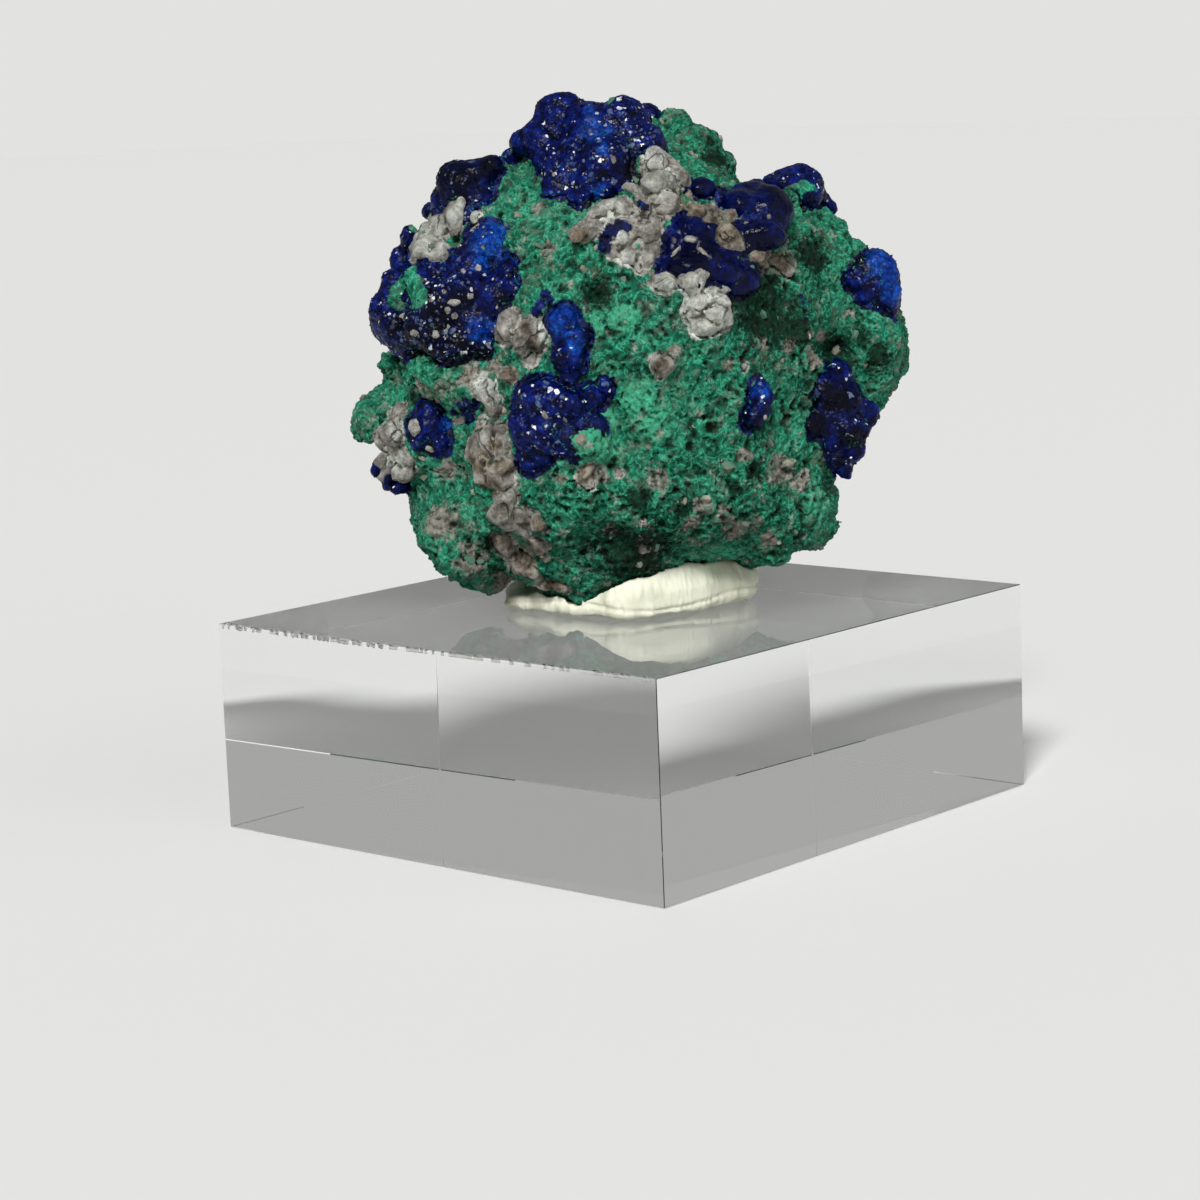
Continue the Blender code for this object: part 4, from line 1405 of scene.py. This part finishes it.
def unevenSizes(count, low, high, rng, stretch, small=2.2, uneven=0.2):
    # sizes between low and high: a larger small gives more small ones, and uneven is how much each
    # side differs from its share
    size = low + (high - low) * rng.random(count) ** small
    return size[:, None] * np.array(stretch) * rng.uniform(1 - uneven, 1 + uneven, (count, 3))


# small pieces: how many, from what size to what size in millimetres, their proportions, how far they
# lean and sink in, the painted spots that have more of them, and how many the rest has beside those
crystalGrowth = {
    "count": 2200, "size": (0.14, 0.34), "stretch": (1, 1, 1), "tilt": 0.4, "sink": 0.93,
    "spots": None, "plain": 1,
}
speckGrowth = {
    "count": 240, "size": (0.2, 0.62), "stretch": (1.3, 0.9, 0.6), "tilt": 0.7, "sink": 0.85,
    "spots": "speckled", "plain": 0.05,
}
grainGrowth = {
    "count": 1500, "size": (0.3, 1.3), "stretch": (1.3, 1, 0.7), "tilt": 0.6, "sink": 0.75,
    "spots": "tan", "plain": 0.05,
}


def addGrowth(name, shape, pieces, growth, finish):
    # one piece of small copies of the shape, spread over these pieces
    def weigh(points):
        if growth["spots"]:
            return growth["plain"] + shareOf(points, growth["spots"])
        return growth["plain"]

    places, normals = pickPlaces(pieces, growth["count"], weigh, rng)
    sizes = unevenSizes(len(places), *growth["size"], rng, growth["stretch"])
    piece = scatter(name, shape, places, normals, sizes, growth["tilt"], rng, growth["sink"])
    giveAttribute(piece, "tint", np.repeat(rng.random(len(places)), len(shape[0])))
    dress(piece, finishes[finish])
    print(name + ":", facesOf([piece]), "faces")
    return piece


rng = np.random.default_rng(11)
blade, grain = makeBlade(), makeGrain()
blades = addGrowth("azuriteCrystals", blade, druses, crystalGrowth, "crystal")
paintPiece(blades, ["cobalt"])
addGrowth("quartzSpecks", grain, azuriteMasses, speckGrowth, "grain")
addGrowth("rockGrains", grain, octants, grainGrowth, "multiplied")

putty = {
    "voxel": 0.2,
    "soften": 10,
    "creases": (3.5, 0.5),  # size and height of the broad finger marks
    "foot": 20.03,  # the block's top, which it is pressed on
    "settled": 1.2,  # how far up from there it is drawn down on to the block
    "held": 0.1,  # below this it lies flat
    "radius": 12,  # about its own: it turns an angle into millimetres along its side
    "wrinkles": 0.24,  # how high the finger lines stand
    "spacing": 0.55,  # how far apart they are
    "leaning": 0.5,  # how fast they change upwards
    "sunk": 0.2,  # the share of them that lies below the surface
    "noiseRow": 3.0,
    "fray": (0.18, 0.5, 0.8),  # depth, size and reach upwards of its torn lower edge
    "fold": (0.22, 1.1, 0.16),  # depth, height over the block and width of the crease round it
    "foldWave": (0.35, 0.25),  # how far and how fast that crease goes up and down
}


def makePutty():
    # pressed on to the block by fingers, wrinkled and creased
    piece = copyOfNode("mineral_tack", "puttyPad")
    remesh(piece, putty["voxel"])
    modify(piece, "SMOOTH", iterations=putty["soften"])
    size, height = putty["creases"]
    relief(piece, "CLOUDS", size, height, noise_depth=1)
    points, normals = pointsOf(piece) / mm, pointsOf(piece, "normal")
    middle, low = points.mean(axis=0), points[:, 2].min()
    sunk = np.clip((low + putty["settled"] - points[:, 2]) / putty["settled"], 0, 1)
    points[:, 2] -= sunk * (low - putty["foot"])
    around = np.arctan2(points[:, 1] - middle[1], points[:, 0] - middle[0]) * putty["radius"]
    frayDepth, fraySize, frayReach = putty["fray"]
    foldDepth, foldHeight, foldWidth = putty["fold"]
    waveHeight, wavePace = putty["foldWave"]
    for index, point in enumerate(points.tolist()):
        along, height = around[index], point[2] - putty["foot"]
        line = along / putty["spacing"], point[2] * putty["leaning"], putty["noiseRow"]
        rise = abs(noise.noise(line)) - putty["sunk"]
        torn = noise.noise([c / fraySize for c in point]) * max(0, 1 - height / frayReach)
        fold = height - foldHeight - waveHeight * math.sin(along * wavePace)
        crease = math.exp(-((fold / foldWidth) ** 2))
        step = rise * putty["wrinkles"] + torn * frayDepth - crease * foldDepth
        if point[2] > putty["foot"] + putty["held"]:
            points[index] += normals[index] * step
    points[:, 2] = np.maximum(points[:, 2], putty["foot"])
    setPoints(piece, points * mm)
    piece.data.shade_smooth()
    dress(piece, finishes["putty"])
    print("putty:", facesOf([piece]), "faces")


makePutty()

block = {
    "edge": 0.06,  # width of the worn edges
    "strip": 0.45,  # how far in from the front edge the chips may reach
    "rim": 0.3,  # points closer to that edge than this are chipped
    "cuts": (99, 3),  # cuts along it, and then again in each part
    "ends": 27,  # how far from the middle the chips stop
    "chipStep": 0.8,  # spacing of the saw's chips
    "chip": 0.5,  # how deep they go
    "often": (0.5, 2.4),  # more of the first or less of the second gives more chips
    "cleanFrom": -5,  # from here to the right they are shallower
    "clean": 0.4,  # share of their depth there
    "sawn": 0.03,  # chips deeper than this are frosted
    "noiseRow": (1.37, 2.61),
    "slack": 0.01,  # how closely places are told apart
    "chamfer": 1,  # the solid's own edges are narrower than this
    "flat": 0.02,  # radians within which faces are one
    "long": 20,  # edges longer than this run along the block
    "manySided": 20,  # faces with this many corners or more are the polished ones
}


def makeBlock():
    # sharp polished edges, with the small chips that a saw left along the front one
    piece = copyOfNode("acrylic_base", "acrylicBlock")
    mesh = piece.data
    bpy.ops.object.mode_set(mode="EDIT")
    bpy.ops.mesh.select_mode(type="EDGE")
    bpy.ops.mesh.select_all(action="SELECT")
    bpy.ops.mesh.dissolve_limited(angle_limit=block["flat"])
    bpy.ops.object.mode_set(mode="OBJECT")
    points = pointsOf(piece) / mm
    low, high = points.min(axis=0), points.max(axis=0)
    for end, way in ((low, 1), (high, -1)):
        near = (abs(points - end) > block["slack"]) & (abs(points - end) < block["chamfer"])
        points = np.where(near, end + way * block["edge"], points)
    setPoints(piece, points * mm)
    bpy.ops.object.mode_set(mode="EDIT")
    besideFront = (0, low[1] + block["strip"], 0), (0, 1, 0)
    belowTop = (0, 0, high[2] - block["strip"]), (0, 0, 1)
    for place, way in (besideFront, belowTop):
        bpy.ops.mesh.select_all(action="SELECT")
        bpy.ops.mesh.bisect(plane_co=Vector(place) * mm, plane_no=way, threshold=cutWeld)
    bpy.ops.mesh.select_all(action="DESELECT")
    bpy.ops.object.mode_set(mode="OBJECT")
    top = high[2] - block["strip"] - block["slack"]
    front = low[1] + block["strip"] + block["slack"]
    for edge in mesh.edges:
        a, b = (mesh.vertices[i].co / mm for i in edge.vertices)
        atRim = all(p.z > top and p.y < front for p in (a, b))
        edge.select = atRim and (a - b).length > block["long"]
    bpy.ops.object.mode_set(mode="EDIT")
    for cuts in block["cuts"]:
        bpy.ops.mesh.subdivide(number_cuts=cuts)
    bpy.ops.object.mode_set(mode="OBJECT")
    points = pointsOf(piece)
    along = points[:, 0] / mm
    atTop = points[:, 2] > (high[2] - block["rim"]) * mm
    atFront = points[:, 1] < (low[1] + block["rim"]) * mm
    rim = atTop & atFront & (abs(along) < block["ends"])
    most, fall = block["often"]
    chipped = set()
    for index in np.nonzero(rim)[0].tolist():
        level = noise.noise((along[index] / block["chipStep"], *block["noiseRow"]))
        share = 1 if along[index] < block["cleanFrom"] else block["clean"]
        worn = max(0, most - abs(level) * fall) * share * block["chip"]
        points[index] += np.array((0, worn, -worn)) * mm
        if worn > block["sawn"]:
            chipped.add(index)
    setPoints(piece, points)
    dress(piece, finishes["acrylic"])
    mesh.materials.append(finishes["sawn"])
    for face in mesh.polygons:
        small = len(face.vertices) < block["manySided"]
        face.material_index = int(small and any(i in chipped for i in face.vertices))
    print("block:", facesOf([piece]), "faces")


makeBlock()


def makeStage():
    # the pale floor that the block stands on
    place = (0, 0, -light["floorGap"] * mm)
    bpy.ops.mesh.primitive_plane_add(size=light["floorWidth"] * mm, location=place)
    floor = bpy.context.object
    floor.name = "floor"
    material = newMaterial("paleFloor")[0]
    finishMaterial(material, {"Base Color": linear(light["floorColour"]), "Roughness": 0.9})
    floor.data.materials.append(material)


def addSun(name, power, width, bearing, height):
    way = towards(bearing, height)
    place = heart + way * (light["lampsAway"] * mm)
    turn = way.to_track_quat("Z", "Y").to_euler()
    bpy.ops.object.light_add(type="SUN", location=place, rotation=turn)
    sun = bpy.context.object
    sun.name = name
    sun.data.energy = power
    sun.data.angle = math.radians(width)


def makeSky():
    # soft light from all round, and a pale backdrop where the floor ends
    world = bpy.data.worlds.new("softSky")
    bpy.context.scene.world = world
    world.use_nodes = True
    tree = world.node_tree
    tree.nodes.clear()
    path = addNode(tree, "LightPath").outputs
    through = addNode(
        tree, "MapRange", {},
        {"Value": path["Is Transmission Ray"], "To Min": light["sky"], "To Max": light["skyThroughBlock"]},
    ).outputs[0]
    strength = addNode(
        tree, "MapRange", {}, {"Value": path["Is Camera Ray"], "To Min": through, "To Max": light["backdrop"]}
    ).outputs[0]
    sky = addNode(tree, "Background", {}, {"Color": linear(light["skyColour"]), "Strength": strength})
    addNode(tree, "OutputWorld", {}, {"Surface": sky.outputs[0]})


makeStage()
addSun("keyLight", light["sunPower"], light["sunWidth"], light["sunBearing"], light["sunHeight"])
addSun("fillLight", light["fillPower"], light["fillWidth"], light["fillBearing"], light["fillHeight"])
makeSky()
bpy.context.scene.view_settings.view_transform = "Standard"
print("stage and light are in place")
